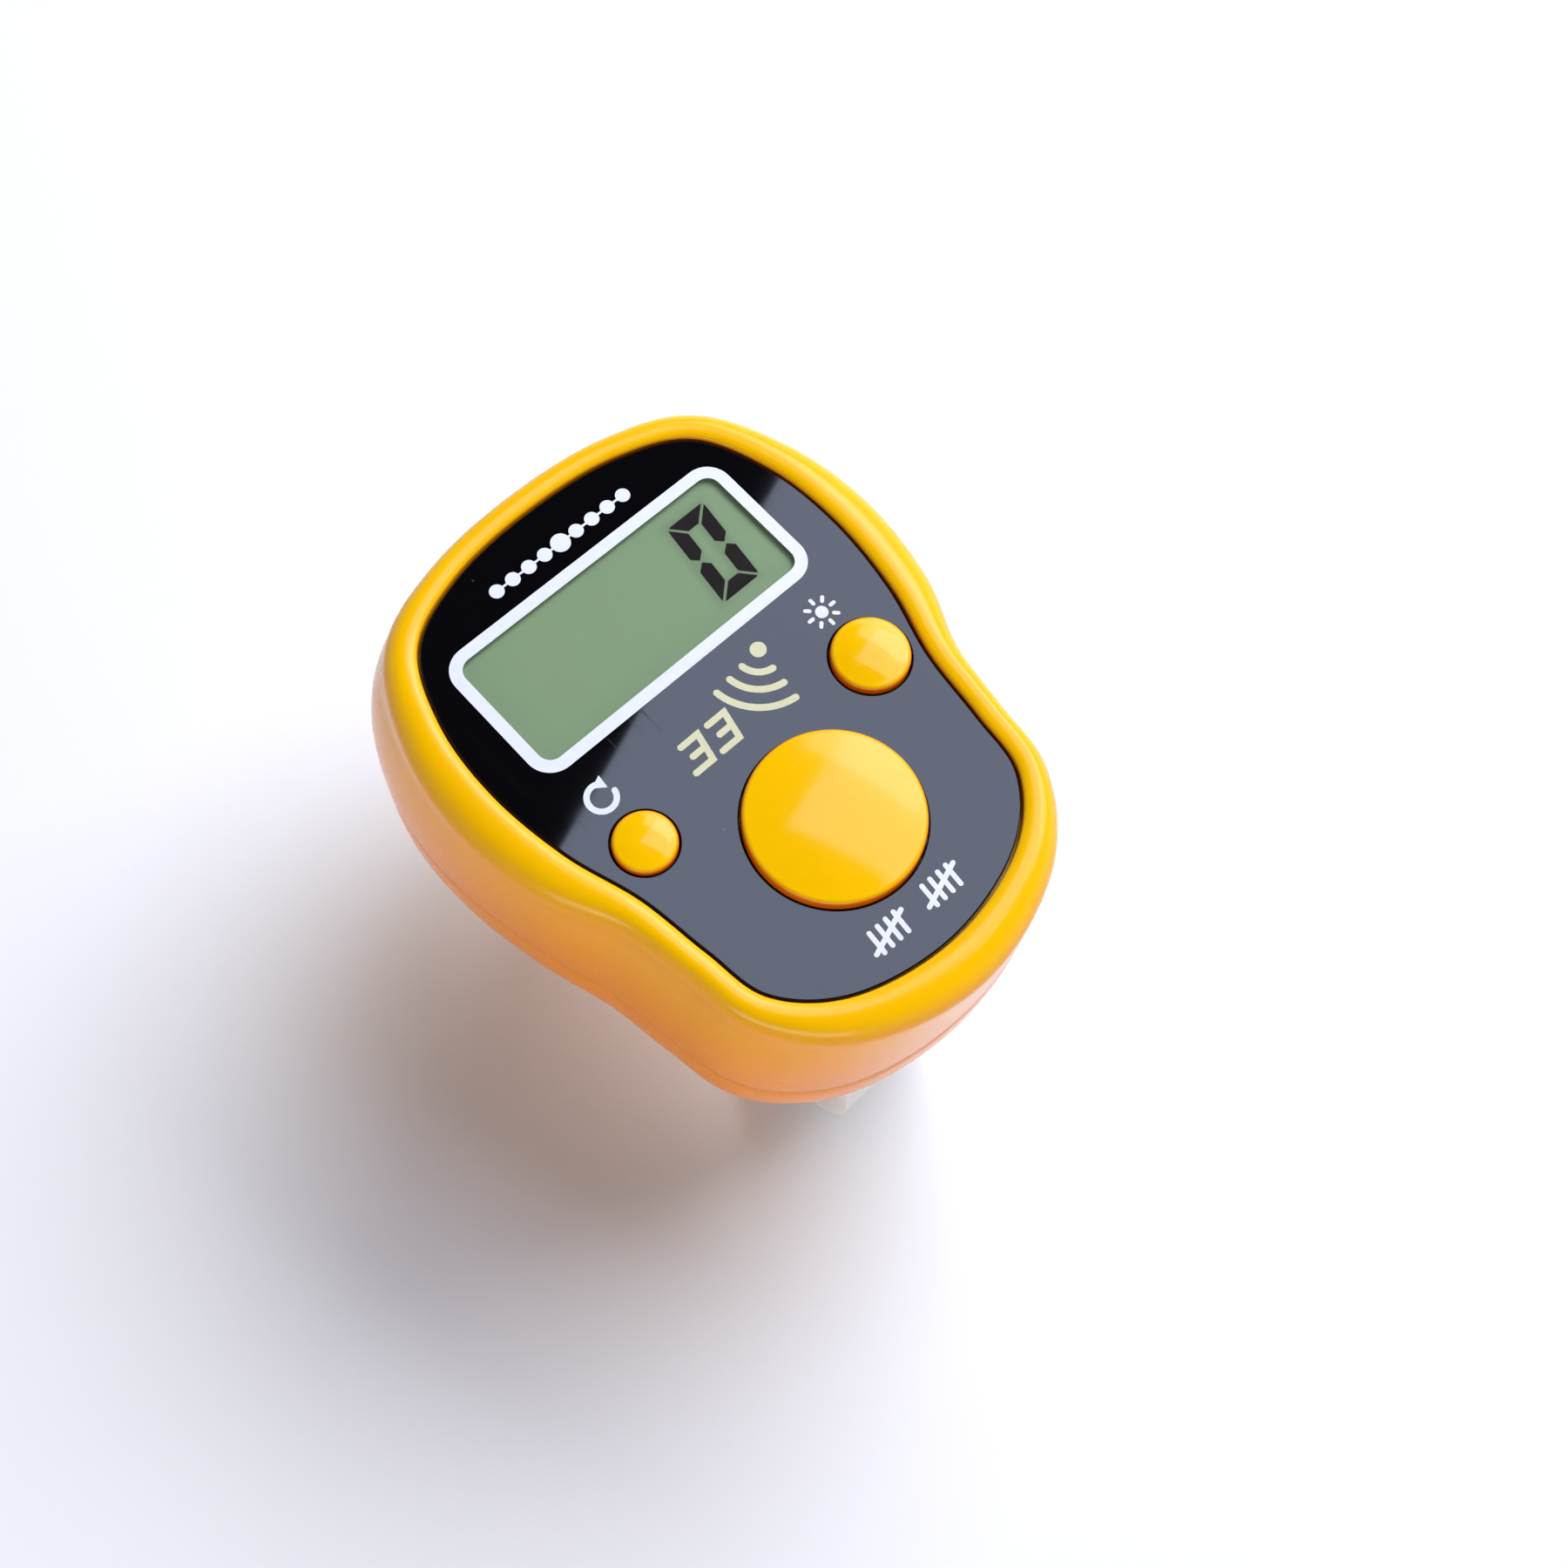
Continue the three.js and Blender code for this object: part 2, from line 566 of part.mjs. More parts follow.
function sounder() {
  const discTop = floorTop + SOUNDER_SHEET;
  const ceramicTop = discTop + CERAMIC_SHEET;
  add('sounder_disc', disc(
    SOUNDER_RADIUS, [floorTop, discTop], SOUNDER_PLACE, BROAD_SIDES,
  ), FINISH.brass);
  add('sounder_ceramic', disc(
    CERAMIC_RADIUS, [discTop, ceramicTop], SOUNDER_PLACE, BROAD_SIDES,
  ), FINISH.ceramic);
  const [x, y] = SOUNDER_PLACE;
  const ceramicSpot = [x - CERAMIC_RADIUS / 2, y, ceramicTop + SEAT_GAP];
  const rimSpot = [x, y - (SOUNDER_RADIUS + CERAMIC_RADIUS) / 2, discTop + SEAT_GAP];
  add('sounder_wire_ceramic', wire(ceramicSpot), FINISH.rubber);
  add('sounder_wire_rim', wire(rimSpot), FINISH.amber);
}

// A short insulated lead from the sounder up to the board, set a little aside there
function wire([x, y, z]) {
  const straight = WIRE_DIAMETER;
  const top = boardBottom - SEAT_GAP;
  const route = new THREE.CatmullRomCurve3([
    new THREE.Vector3(x, y, z), new THREE.Vector3(x, y, z + straight),
    new THREE.Vector3(x + WIRE_ASIDE, y, top - straight), new THREE.Vector3(x + WIRE_ASIDE, y, top),
  ]);
  const section = new THREE.Shape().absarc(0, 0, WIRE_DIAMETER / 2, 0, Math.PI * 2);
  return solid(new THREE.ExtrudeGeometry(section, {
    steps: 8, curveSegments: 8, bevelEnabled: false, extrudePath: route,
  }));
}

function caseBack() {
  const edgeStart = backLevel + BACK_EDGE_RADIUS;
  const underEdge = arc(3, (turn) => ring(
    (point) => point.flare - BACK_EDGE_RADIUS * (1 - Math.sin(turn)),
    edgeStart - BACK_EDGE_RADIUS * Math.cos(turn),
  ));
  const rimTop = ring((point) => point.flare, parting);
  const lipTop = parting + BACK_LIP_HEIGHT;
  const insideWall = (gap, z) => ring((point) => point.flare - CASE_WALL - gap, z);
  const lip = loft([insideWall(BUTTON_GAP, parting - CASE_WALL), insideWall(BUTTON_GAP, lipTop)]);
  const hollow = loft([
    insideWall(BUTTON_GAP + BACK_LIP_WALL, floorTop),
    insideWall(BUTTON_GAP + BACK_LIP_WALL, lipTop + PAST),
  ]);
  let back = loft([...underEdge, rimTop]).add(lip).subtract(hollow);

  const half = CELL_SPACING / 2;
  const cradleTop = floorTop + CRADLE_HEIGHT;
  const cradleInner = CELL_RADIUS + TURNED_GAP;
  for (const x of [-half, half]) {
    const cradle = [floorTop - SINK, cradleTop];
    back = back.add(disc(cradleInner + CRADLE_WALL, cradle, [x, CELL_Y], BROAD_SIDES));
  }
  for (const x of [-half, half]) {
    back = back.subtract(disc(cradleInner, [floorTop, cradleTop + PAST], [x, CELL_Y], BROAD_SIDES));
  }
  const bridgeY = grow([CELL_Y, CELL_Y], BRIDGE_WIDTH / 2 + LOOSE_GAP);
  const bridgeSlot = block([-half, half], bridgeY, [floorTop, cradleTop + PAST]);
  back = back.subtract(bridgeSlot);

  const headSeat = backLevel + SCREW_RECESS_DEPTH;
  for (const place of screwPlaces) {
    back = back.add(disc(boreRadius + POST_WALL, [backLevel + SINK, boardBottom], place, SMALL_SIDES))
      .subtract(disc(boreRadius, grow([backLevel, boardBottom], PAST), place, SMALL_SIDES))
      .subtract(disc(SCREW_HEAD_RADIUS + TURNED_GAP, [backLevel - PAST, headSeat], place));
  }
  const peg = disc(PEG_RADIUS, [pegEnd(), floorTop - SINK], [0, PEG_Y], SMALL_SIDES);
  back = back.add(hingeLugs()).add(peg);
  add('back_cover', back, FINISH.amber);
}

function pegEnd() {
  return backLevel - LOOSE_GAP - BAND_THICKNESS - PEG_TIP;
}

function hingeLugs() {
  const inner = BAND_WIDTH / 2 + TURNED_GAP;
  const lug = circle(pinY, pinLevel, BARREL_RADIUS);
  const root = new THREE.Shape([
    new THREE.Vector2(pinY - BARREL_RADIUS, pinLevel), new THREE.Vector2(pinY + BARREL_RADIUS, pinLevel),
    new THREE.Vector2(pinY + BARREL_RADIUS, backLevel + SINK),
    new THREE.Vector2(pinY - BARREL_RADIUS, backLevel + SINK),
  ]);
  const bore = circle(pinY, pinLevel, PIN_RADIUS + TURNED_GAP);
  const onSide = (side) => {
    const across = side > 0 ? [inner, inner + LUG_THICKNESS] : [-inner - LUG_THICKNESS, -inner];
    return crosswise(lug, across).add(crosswise(root, across)).subtract(crosswise(bore, grow(across, PAST)));
  };
  return onSide(1).add(onSide(-1));
}

function caseScrews() {
  const seat = backLevel + SCREW_RECESS_DEPTH;
  const tip = seat + SCREW_LENGTH;
  const profile = [
    [0, seat - SCREW_HEAD_HEIGHT], [SCREW_HEAD_RADIUS, seat - SCREW_HEAD_HEIGHT],
    [SCREW_HEAD_RADIUS, seat], [SCREW_RADIUS, seat], [SCREW_RADIUS, tip - SCREW_RADIUS],
    [SCREW_RADIUS / 2, tip], [0, tip],
  ];
  screwPlaces.forEach(([x, y], i) => {
    add(`case_screw_${i + 1}`, turned(profile, [x, y, 0], SMALL_SIDES), FINISH.steel);
  });
}

// The band's middle line from the hinge, round under the finger and up to its tab
function bandRoute() {
  const place = (y, z) => new THREE.Vector3(0, y, z);
  const under = backLevel - LOOSE_GAP - BAND_THICKNESS / 2;
  const bottom = bandBottom + BAND_THICKNESS / 2;
  const middle = (pinLevel + bottom) / 2;
  const nearBow = BAND_REACH - BAND_FLAT_HALF;
  const farBow = BAND_FAR_REACH - BAND_FLAT_HALF;
  const drop = middle - bottom;
  const quarter = 1 - QUARTER_BEND;
  const bendStart = under - BAND_TAB_BEND;
  const route = new THREE.CurvePath();
  route.add(new THREE.CubicBezierCurve3(
    place(pinY - BARREL_RADIUS / 2, pinLevel - BARREL_RADIUS / 2),
    place(pinY - BARREL_RADIUS, pinLevel - 2 * BARREL_RADIUS),
    place(-BAND_REACH, middle + drop / 2), place(-BAND_REACH, middle),
  ));
  route.add(new THREE.CubicBezierCurve3(
    place(-BAND_REACH, middle), place(-BAND_REACH, bottom + drop * quarter),
    place(-BAND_REACH + nearBow * quarter, bottom), place(-BAND_FLAT_HALF, bottom),
  ));
  route.add(new THREE.LineCurve3(place(-BAND_FLAT_HALF, bottom), place(BAND_FLAT_HALF, bottom)));
  route.add(new THREE.CubicBezierCurve3(
    place(BAND_FLAT_HALF, bottom), place(BAND_FAR_REACH - farBow * quarter, bottom),
    place(BAND_FAR_REACH, bottom + drop * quarter), place(BAND_FAR_REACH, middle),
  ));
  route.add(new THREE.LineCurve3(place(BAND_FAR_REACH, middle), place(BAND_FAR_REACH, bendStart)));
  route.add(new THREE.QuadraticBezierCurve3(
    place(BAND_FAR_REACH, bendStart), place(BAND_FAR_REACH, under),
    place(BAND_FAR_REACH + BAND_TAB_BEND, under),
  ));
  route.add(new THREE.LineCurve3(place(BAND_FAR_REACH + BAND_TAB_BEND, under), place(BAND_TAB_END, under)));
  return route;
}

function fingerBand() {
  const half = BAND_THICKNESS / 2;
  const sides = [[], []];
  for (const curve of bandRoute().curves) {
    const steps = curve.isLineCurve3 ? 1 : BAND_BEND_STEPS;
    for (let i = sides[0].length ? 1 : 0; i <= steps; i += 1) {
      const spot = curve.getPoint(i / steps);
      const along = curve.getTangent(i / steps);
      sides[0].push(new THREE.Vector2(spot.y - along.z * half, spot.z + along.y * half));
      sides[1].push(new THREE.Vector2(spot.y + along.z * half, spot.z - along.y * half));
    }
  }
  const across = [-BAND_WIDTH / 2, BAND_WIDTH / 2];
  const ribbon = crosswise(new THREE.Shape([...sides[0], ...sides[1].reverse()]), across);
  const barrel = crosswise(circle(pinY, pinLevel, BARREL_RADIUS), across);
  const bore = crosswise(circle(pinY, pinLevel, PIN_RADIUS + TURNED_GAP), grow(across, PAST));
  const trim = prism(
    roundedRectangle(across, [-BAND_REACH * 2, BAND_TAB_END], BAND_TAB_CORNER),
    [bandBottom - PAST, 0],
    6,
  );
  const hole = disc(
    PEG_RADIUS + TURNED_GAP, grow([pegEnd(), backLevel], PAST), [0, PEG_Y], SMALL_SIDES,
  );
  add('finger_band', ribbon.add(barrel).subtract(bore).intersect(trim).subtract(hole), FINISH.band);
  const reach = BAND_WIDTH / 2 + TURNED_GAP + LUG_THICKNESS;
  add('band_pin', crosswise(circle(pinY, pinLevel, PIN_RADIUS), [-reach, reach]), FINISH.steel);
}

caseTop();
caseBack();
facePlate();
display();
buttons.forEach(pushButton);
pushSwitch(COUNT_BUTTON, COUNT_SWITCH);
pushSwitch(RESET_BUTTON, SMALL_SWITCH);
pushSwitch(LIGHT_BUTTON, SMALL_SWITCH);
circuitBoard();
cells();
sounder();
caseScrews();
fingerBand();

// The counter stands on the flat underside of its band, centred between the case's two ends
const ends = outline.map((point) => point.y + point.ny * Math.max(point.rim, point.flare));
counter.position.set(0, -(Math.max(...ends) + Math.min(...ends)) / 2, -bandBottom);

export default counter;
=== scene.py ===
"""Looks of a digital finger tally counter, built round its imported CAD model.

Shapes are drawn in millimetres in the case's own frame: +X along the finger, +Y towards
the display, and level 0 at the top of the face plate. Each is put in place in metres as
it is finished.
"""

import logging
import math
from collections.abc import Callable, Iterable, Sequence
from dataclasses import dataclass, field
from enum import Enum
from functools import cache
from typing import Any

import bmesh
import bpy
from mathutils import Matrix, Vector


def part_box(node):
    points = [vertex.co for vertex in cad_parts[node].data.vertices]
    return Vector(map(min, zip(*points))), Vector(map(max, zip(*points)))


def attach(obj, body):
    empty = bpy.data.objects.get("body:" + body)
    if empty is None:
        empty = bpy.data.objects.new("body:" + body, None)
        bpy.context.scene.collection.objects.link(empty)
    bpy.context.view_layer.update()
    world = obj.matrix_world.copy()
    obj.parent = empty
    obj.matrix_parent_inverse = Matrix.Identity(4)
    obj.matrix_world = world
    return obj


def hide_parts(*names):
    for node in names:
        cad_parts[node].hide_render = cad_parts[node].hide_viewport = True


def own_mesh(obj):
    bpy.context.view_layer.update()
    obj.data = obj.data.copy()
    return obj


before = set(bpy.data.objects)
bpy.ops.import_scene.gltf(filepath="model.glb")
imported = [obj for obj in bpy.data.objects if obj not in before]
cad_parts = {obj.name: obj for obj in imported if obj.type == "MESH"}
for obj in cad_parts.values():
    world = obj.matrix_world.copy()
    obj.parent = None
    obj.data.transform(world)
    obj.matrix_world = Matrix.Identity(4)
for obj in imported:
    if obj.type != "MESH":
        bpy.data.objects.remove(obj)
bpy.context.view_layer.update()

log = logging.getLogger("tally_counter")

MILLIMETRE = 0.001
INK_THICKNESS = 0.02
ROUND_STEPS = 96
QUARTER_BEND = 0.5523
MERGE_DISTANCE = 1e-4


# Shader maths


class Flow:
    """A value, colour or vector in a material's tree, which Python's operators work on."""

    def __init__(self, graph: "Graph", socket: bpy.types.NodeSocket) -> None:
        """Wraps a socket.

        Args:
            graph: The tree that the socket is in.
            socket: An output socket of one of its nodes.
        """
        self.graph = graph
        self.socket = socket

    def _maths(self, operation: str, first: Any, second: Any) -> "Flow":
        """Adds one Math node.

        Args:
            operation: The node's operation.
            first: The first number or flow.
            second: The second number or flow.

        Returns:
            The node's result.
        """
        return self.graph.node("ShaderNodeMath", {"operation": operation}, {0: first, 1: second})

    def __add__(self, other: Any) -> "Flow":
        """The sum."""
        return self._maths("ADD", self, other)

    def __radd__(self, other: Any) -> "Flow":
        """The sum, from the right."""
        return self._maths("ADD", other, self)

    def __sub__(self, other: Any) -> "Flow":
        """The difference."""
        return self._maths("SUBTRACT", self, other)

    def __rsub__(self, other: Any) -> "Flow":
        """The difference, from the right."""
        return self._maths("SUBTRACT", other, self)

    def __mul__(self, other: Any) -> "Flow":
        """The product."""
        return self._maths("MULTIPLY", self, other)

    def __rmul__(self, other: Any) -> "Flow":
        """The product, from the right."""
        return self._maths("MULTIPLY", other, self)

    def __truediv__(self, other: Any) -> "Flow":
        """The quotient."""
        return self._maths("DIVIDE", self, other)

    def size(self) -> "Flow":
        """The value without its sign."""
        return self._maths("ABSOLUTE", self, 0.0)

    def greater(self, other: Any) -> "Flow":
        """The greater of two values."""
        return self._maths("MAXIMUM", self, other)

    def ramp(self, start: float, end: float) -> "Flow":
        """A smooth step of this value.

        Args:
            start: The value where the step is 0.
            end: The value where it is 1; it may be the lower of the two.

        Returns:
            A flow between 0 and 1.
        """
        low, high = min(start, end), max(start, end)
        bounds = (0.0, 1.0) if start < end else (1.0, 0.0)
        return self.graph.node(
            "ShaderNodeMapRange", {"interpolation_type": "SMOOTHSTEP"},
            {0: self, 1: low, 2: high, 3: bounds[0], 4: bounds[1]},
        )


class Graph:
    """A node tree in the making."""

    def __init__(self, tree: bpy.types.NodeTree) -> None:
        """Takes up a tree.

        Args:
            tree: The tree to add to.
        """
        self.tree = tree

    def node(
        self,
        kind: str,
        settings: dict[str, Any] | None = None,
        sockets: dict[int | str, Any] | None = None,
        output: int | str = 0,
    ) -> Flow:
        """Adds a node.

        Args:
            kind: The node's type.
            settings: Its own settings, such as a Math node's operation or a ramp's stops.
            sockets: A value or a flow for each input socket named.
            output: The output socket that is wanted.

        Returns:
            That output as a flow.
        """
        made = self.tree.nodes.new(kind)
        for key, value in (settings or {}).items():
            if key == "stops":
                self.set_stops(made.color_ramp, value)
            else:
                setattr(made, key, value)
        for key, value in (sockets or {}).items():
            self.feed(made.inputs[key], value)
        return Flow(self, made.outputs[output])

    @staticmethod
    def set_stops(ramp: bpy.types.ColorRamp, stops: Sequence[tuple[float, float]]) -> None:
        """Gives a ramp grey stops.

        Args:
            ramp: The ramp, with its first two stops.
            stops: Value and grey of each stop, in rising order.
        """
        for place, _ in stops[1:-1]:
            ramp.elements.new(place)
        for element, (place, level) in zip(ramp.elements, stops):
            element.position, element.color = place, (level, level, level, 1)

    def feed(self, socket: bpy.types.NodeSocket, value: Any) -> None:
        """Sets or links an input socket.

        Args:
            socket: The input socket.
            value: A flow, which is linked, or a plain value.
        """
        if isinstance(value, Flow):
            self.tree.links.new(value.socket, socket)
        else:
            socket.default_value = value

    def blend(self, share: Any, first: Any, second: Any) -> Flow:
        """Mixes two colours.

        Args:
            share: How much of the second.
            first: The first colour.
            second: The second colour.

        Returns:
            The mixed colour.
        """
        return self.node(
            "ShaderNodeMix", {"data_type": "RGBA"}, {0: share, 6: first, 7: second}, 2,
        )

    def greys(self, value: Flow, stops: Sequence[tuple[float, float]]) -> Flow:
        """Turns a value into greys.

        Args:
            value: The value, between 0 and 1.
            stops: Value and grey of each stop.

        Returns:
            The grey as a flow.
        """
        return self.node("ShaderNodeValToRGB", {"stops": stops}, {0: value})

    def seen(self) -> Flow:
        """1 for what the camera sees, straight, mirrored or through glass, and 0 for mere light."""
        camera, glossy, through = (
            self.node("ShaderNodeLightPath", output=f"Is {name} Ray")
            for name in ("Camera", "Glossy", "Transmission")
        )
        return camera.greater(glossy).greater(through)


class MaterialGraph(Graph):
    """A material's node tree, with a Principled shader."""

    def __init__(self, name: str) -> None:
        """Starts a material.

        Args:
            name: The material's name.
        """
        self.material = bpy.data.materials.new(name)
        self.material.use_nodes = True
        super().__init__(self.material.node_tree)
        self.shader = self.tree.nodes["Principled BSDF"]
        self.place = self.node("ShaderNodeTexCoord", output="Object")

    def surface(self, **values: Any) -> None:
        """Feeds the Principled shader.

        Args:
            **values: Values by socket name, with underscores for its spaces.
        """
        for key, value in values.items():
            self.feed(self.shader.inputs[key.replace("_", " ")], value)

    def noise(
        self, scale: float, detail: float = 2.0, stretch: Sequence[float] = (1, 1, 1),
    ) -> Flow:
        """Noise on the object's own coordinates.

        Args:
            scale: Cells to a millimetre.
            detail: Octaves.
            stretch: Factors on the three axes.

        Returns:
            The noise, between 0 and 1.
        """
        return self.node(
            "ShaderNodeTexNoise", None,
            {"Vector": self.stretched(stretch), "Scale": scale / MILLIMETRE, "Detail": detail},
        )

    def stretched(self, stretch: Sequence[float], turn: Sequence[float] = (0, 0, 0)) -> Flow:
        """The object's coordinates, stretched and turned.

        Args:
            stretch: Factors on the three axes.
            turn: Turns about them, in radians.

        Returns:
            The coordinates as a flow.
        """
        return self.node(
            "ShaderNodeMapping", None,
            {"Vector": self.place, "Rotation": tuple(turn), "Scale": tuple(stretch)},
        )

    def axis(self, name: str) -> Flow:
        """One of the object's coordinates, in metres."""
        return self.node("ShaderNodeSeparateXYZ", None, {0: self.place}, name)

    def bump(self, height: Flow, depth: float, share: float = 1.0) -> Flow:
        """Turns a height into a normal.

        Args:
            height: The height, between 0 and 1.
            depth: What 1 stands for, in millimetres.
            share: The bump's strength.

        Returns:
            The normal.
        """
        return self.node(
            "ShaderNodeBump", None,
            {"Strength": share, "Distance": depth * MILLIMETRE, "Height": height},
        )


def colour(
    red: int, green: int, blue: int, share: float = 1.0,
) -> tuple[float, float, float, float]:
    """A colour from its screen values.

    Args:
        red: Red, from 0 to 255.
        green: Green.
        blue: Blue.
        share: A factor on the linear colour.

    Returns:
        The linear colour with an alpha of 1.
    """
    def linear(level: int) -> float:
        """One screen level as a linear one."""
        part = level / 255
        return part / 12.92 if part <= 0.04045 else ((part + 0.055) / 1.055) ** 2.4

    return (linear(red) * share, linear(green) * share, linear(blue) * share, 1.0)


# Finishes


@dataclass(frozen=True)
class Finish:
    """A finish: one procedural material, made once however many pieces wear it."""

    name: str
    tint: tuple[int, int, int]
    roughness: float = 0.4

    @cache
    def material(self) -> bpy.types.Material:
        """The finish's material, made at its first use."""
        graph = MaterialGraph(f"{self.name}_finish")
        self.dress(graph)
        return graph.material

    def dress(self, graph: MaterialGraph) -> None:
        """Fills the material's tree.

        Args:
            graph: The tree to fill.
        """
        raise NotImplementedError

    def mottled(self, graph: MaterialGraph, scale: float, spread: float) -> Flow:
        """The tint, a little uneven.

        Args:
            graph: The tree to add to.
            scale: Patches to a millimetre.
            spread: How far a patch may be from the tint, as a share.

        Returns:
            The uneven colour.
        """
        patches = graph.noise(scale, 3.0).ramp(0.3, 0.7)
        return graph.blend(patches, colour(*self.tint, 1 - spread), colour(*self.tint, 1 + spread))


@dataclass(frozen=True)
class MouldedPlastic(Finish):
    """Glossy moulded plastic, with painted shade low down and on its sides, and an uneven gloss."""

    # Painted shade: its tint, the levels over which it deepens, its share on the sides and their
    # lean.
    painted_shade_tint: tuple[int, int, int] = (241, 138, 2)
    levels: tuple[float, float] = (-0.5, -10.0)
    side_shade_share: float = 0.6
    lean: tuple[float, float] = (0.9, 0.1)
    depth: float = 0.15
    wear: float = 0.10

    def dress(self, graph: MaterialGraph) -> None:
        """Colour with painted shade low down and on the sides, gloss, a waxy depth, fine scuffs and
        a barely uneven skin.
        """
        scuffs = graph.noise(3.0, 6.0, (1, 0.25, 1)).ramp(0.58, 0.74)
        haze = graph.noise(0.15, 3.0).ramp(0.35, 0.75)
        skin = graph.noise(0.45, 2.0) + graph.noise(9.0, 3.0) * 0.06
        # Painted shade: the tint deepens towards the bottom and on faces that lean away from the
        # light above.
        top, bottom = ((case_place() @ Vector((0, 0, level))).z for level in self.levels)
        normal = graph.node("ShaderNodeTexCoord", output="Normal")
        upright = graph.node("ShaderNodeSeparateXYZ", None, {0: normal}, "Z")
        low, side_shade_mask = graph.axis("Z").ramp(top, bottom), upright.ramp(*self.lean)
        painted_shade_mask = low * (1 - self.side_shade_share) + side_shade_mask * self.side_shade_share
        graph.surface(
            Base_Color=graph.blend(painted_shade_mask, self.mottled(graph, 0.12, 0.025), colour(*self.painted_shade_tint)),
            Roughness=self.roughness + scuffs * self.wear + haze * 0.03,
            Subsurface_Weight=self.depth,
            Subsurface_Radius=(1.0, 0.42, 0.10),
            Subsurface_Scale=1.2 * MILLIMETRE,
            Specular_IOR_Level=0.24,
            IOR=1.49,
            Normal=graph.bump(skin, 0.006, 0.5),
        )


@dataclass(frozen=True)
class PolishedPlate(Finish):
    """Polished black plastic with wiped-off haze, a few hairlines and specks of dust."""

    dust: tuple[int, int, int] = (150, 150, 155)

    def dress(self, graph: MaterialGraph) -> None:
        """Near-black body, mirror gloss, haze, hairlines and dust."""
        haze = graph.noise(0.18, 4.0).ramp(0.45, 0.8)
        hairline = graph.node(
            "ShaderNodeTexNoise", None,
            {"Vector": graph.stretched((1, 0.02, 1), (0, 0, 0.6)), "Scale": 4200.0, "Detail": 1.0},
        ).ramp(0.70, 0.76)
        speck = graph.node(
            "ShaderNodeTexVoronoi", None, {"Vector": graph.place, "Scale": 420.0},
        ).ramp(0.055, 0.02)
        dust = speck * graph.noise(0.3, 1.0).ramp(0.52, 0.66)
        graph.surface(
            Base_Color=graph.blend(dust * 0.5, colour(*self.tint), colour(*self.dust)),
            Roughness=self.roughness + haze * 0.02 + hairline * 0.05 + dust * 0.4,
            IOR=1.49,
            Normal=graph.bump(graph.noise(0.08, 1.0), 0.02, 0.4),
        )


@dataclass(frozen=True)
class ClearPane(Finish):
    """A clear pane that shows as a faint film over what lies under it."""

    cover: float = 0.1

    def dress(self, graph: MaterialGraph) -> None:
        """Faint body, high gloss and a few wiped streaks."""
        streaks = graph.noise(0.4, 3.0, (1, 0.2, 1)).ramp(0.5, 0.8)
        graph.surface(
            Base_Color=colour(*self.tint),
            Roughness=self.roughness + streaks * 0.05,
            Alpha=self.cover * (0.7 + streaks * 0.6),
            IOR=1.49,
        )


@dataclass(frozen=True)
class DisplayFilm(Finish):
    """The green-grey film of the display, with a painted soft shadow of a dark numeral and a faint
    painted glow.
    """

    numeral: "NumeralShape | None" = None
    # A faint painted glow of the film's own tint, which lightens the shade in the display's recess.
    glow: float = 0.1
    shaded: tuple[int, int, int] = (72, 84, 66)
    shading: float = 0.26

    def dress(self, graph: MaterialGraph) -> None:
        """Fine silky grain, an even tint, the numeral's painted shadow and a faint painted glow."""
        shade = self.mottled(graph, 0.05, 0.012)
        if self.numeral is not None:
            shadow = self.numeral.shadow(graph)
            shade = graph.blend(shadow * self.shading, shade, colour(*self.shaded))
        grain = graph.noise(6.0, 2.0, (1, 0.3, 1))
        graph.surface(
            Base_Color=shade,
            Emission_Color=shade,
            # Painted light: the film glows faintly in its own tint.
            Emission_Strength=self.glow,
            Roughness=self.roughness + grain * 0.08,
            Specular_IOR_Level=0.08,
            Normal=graph.bump(grain, 0.004, 0.3),
        )


@dataclass(frozen=True)
class PrintedInk(Finish):
    """Screen-printed ink: nearly flat, with the mesh's faint grain."""

    gloss: float = 0.3

    def dress(self, graph: MaterialGraph) -> None:
        """Tint, a faint grain and a satin gloss."""
        grain = graph.noise(7.0, 3.0)
        graph.surface(
            Base_Color=self.mottled(graph, 1.5, 0.02),
            Roughness=self.roughness + grain * 0.08,
            Specular_IOR_Level=self.gloss,
            Normal=graph.bump(grain, 0.006, 0.35),
        )


class Lay(Enum):
    """The way in which a metal's surface is worked."""

    TURNED = "turned"
    DRAWN = "drawn"
    STAMPED = "stamped"


@dataclass(frozen=True)
class WorkedMetal(Finish):
    """Plated metal with the marks of how it was worked."""

    lay: Lay = Lay.DRAWN

    def dress(self, graph: MaterialGraph) -> None:
        """Tint, working marks, and dull spots of handling."""
        stretch = {
            Lay.TURNED: (1.0, 1.0, 9.0), Lay.DRAWN: (0.08, 1.0, 1.0), Lay.STAMPED: (1.0, 1.0, 1.0),
        }[self.lay]
        marks = graph.noise(8.0, 3.0, stretch)
        spots = graph.noise(0.7, 4.0).ramp(0.5, 0.75)
        graph.surface(
            Base_Color=self.mottled(graph, 0.9, 0.06),
            Metallic=1.0,
            Roughness=self.roughness + marks * 0.14 + spots * 0.10,
            Normal=graph.bump(marks, 0.006, 0.5),
        )


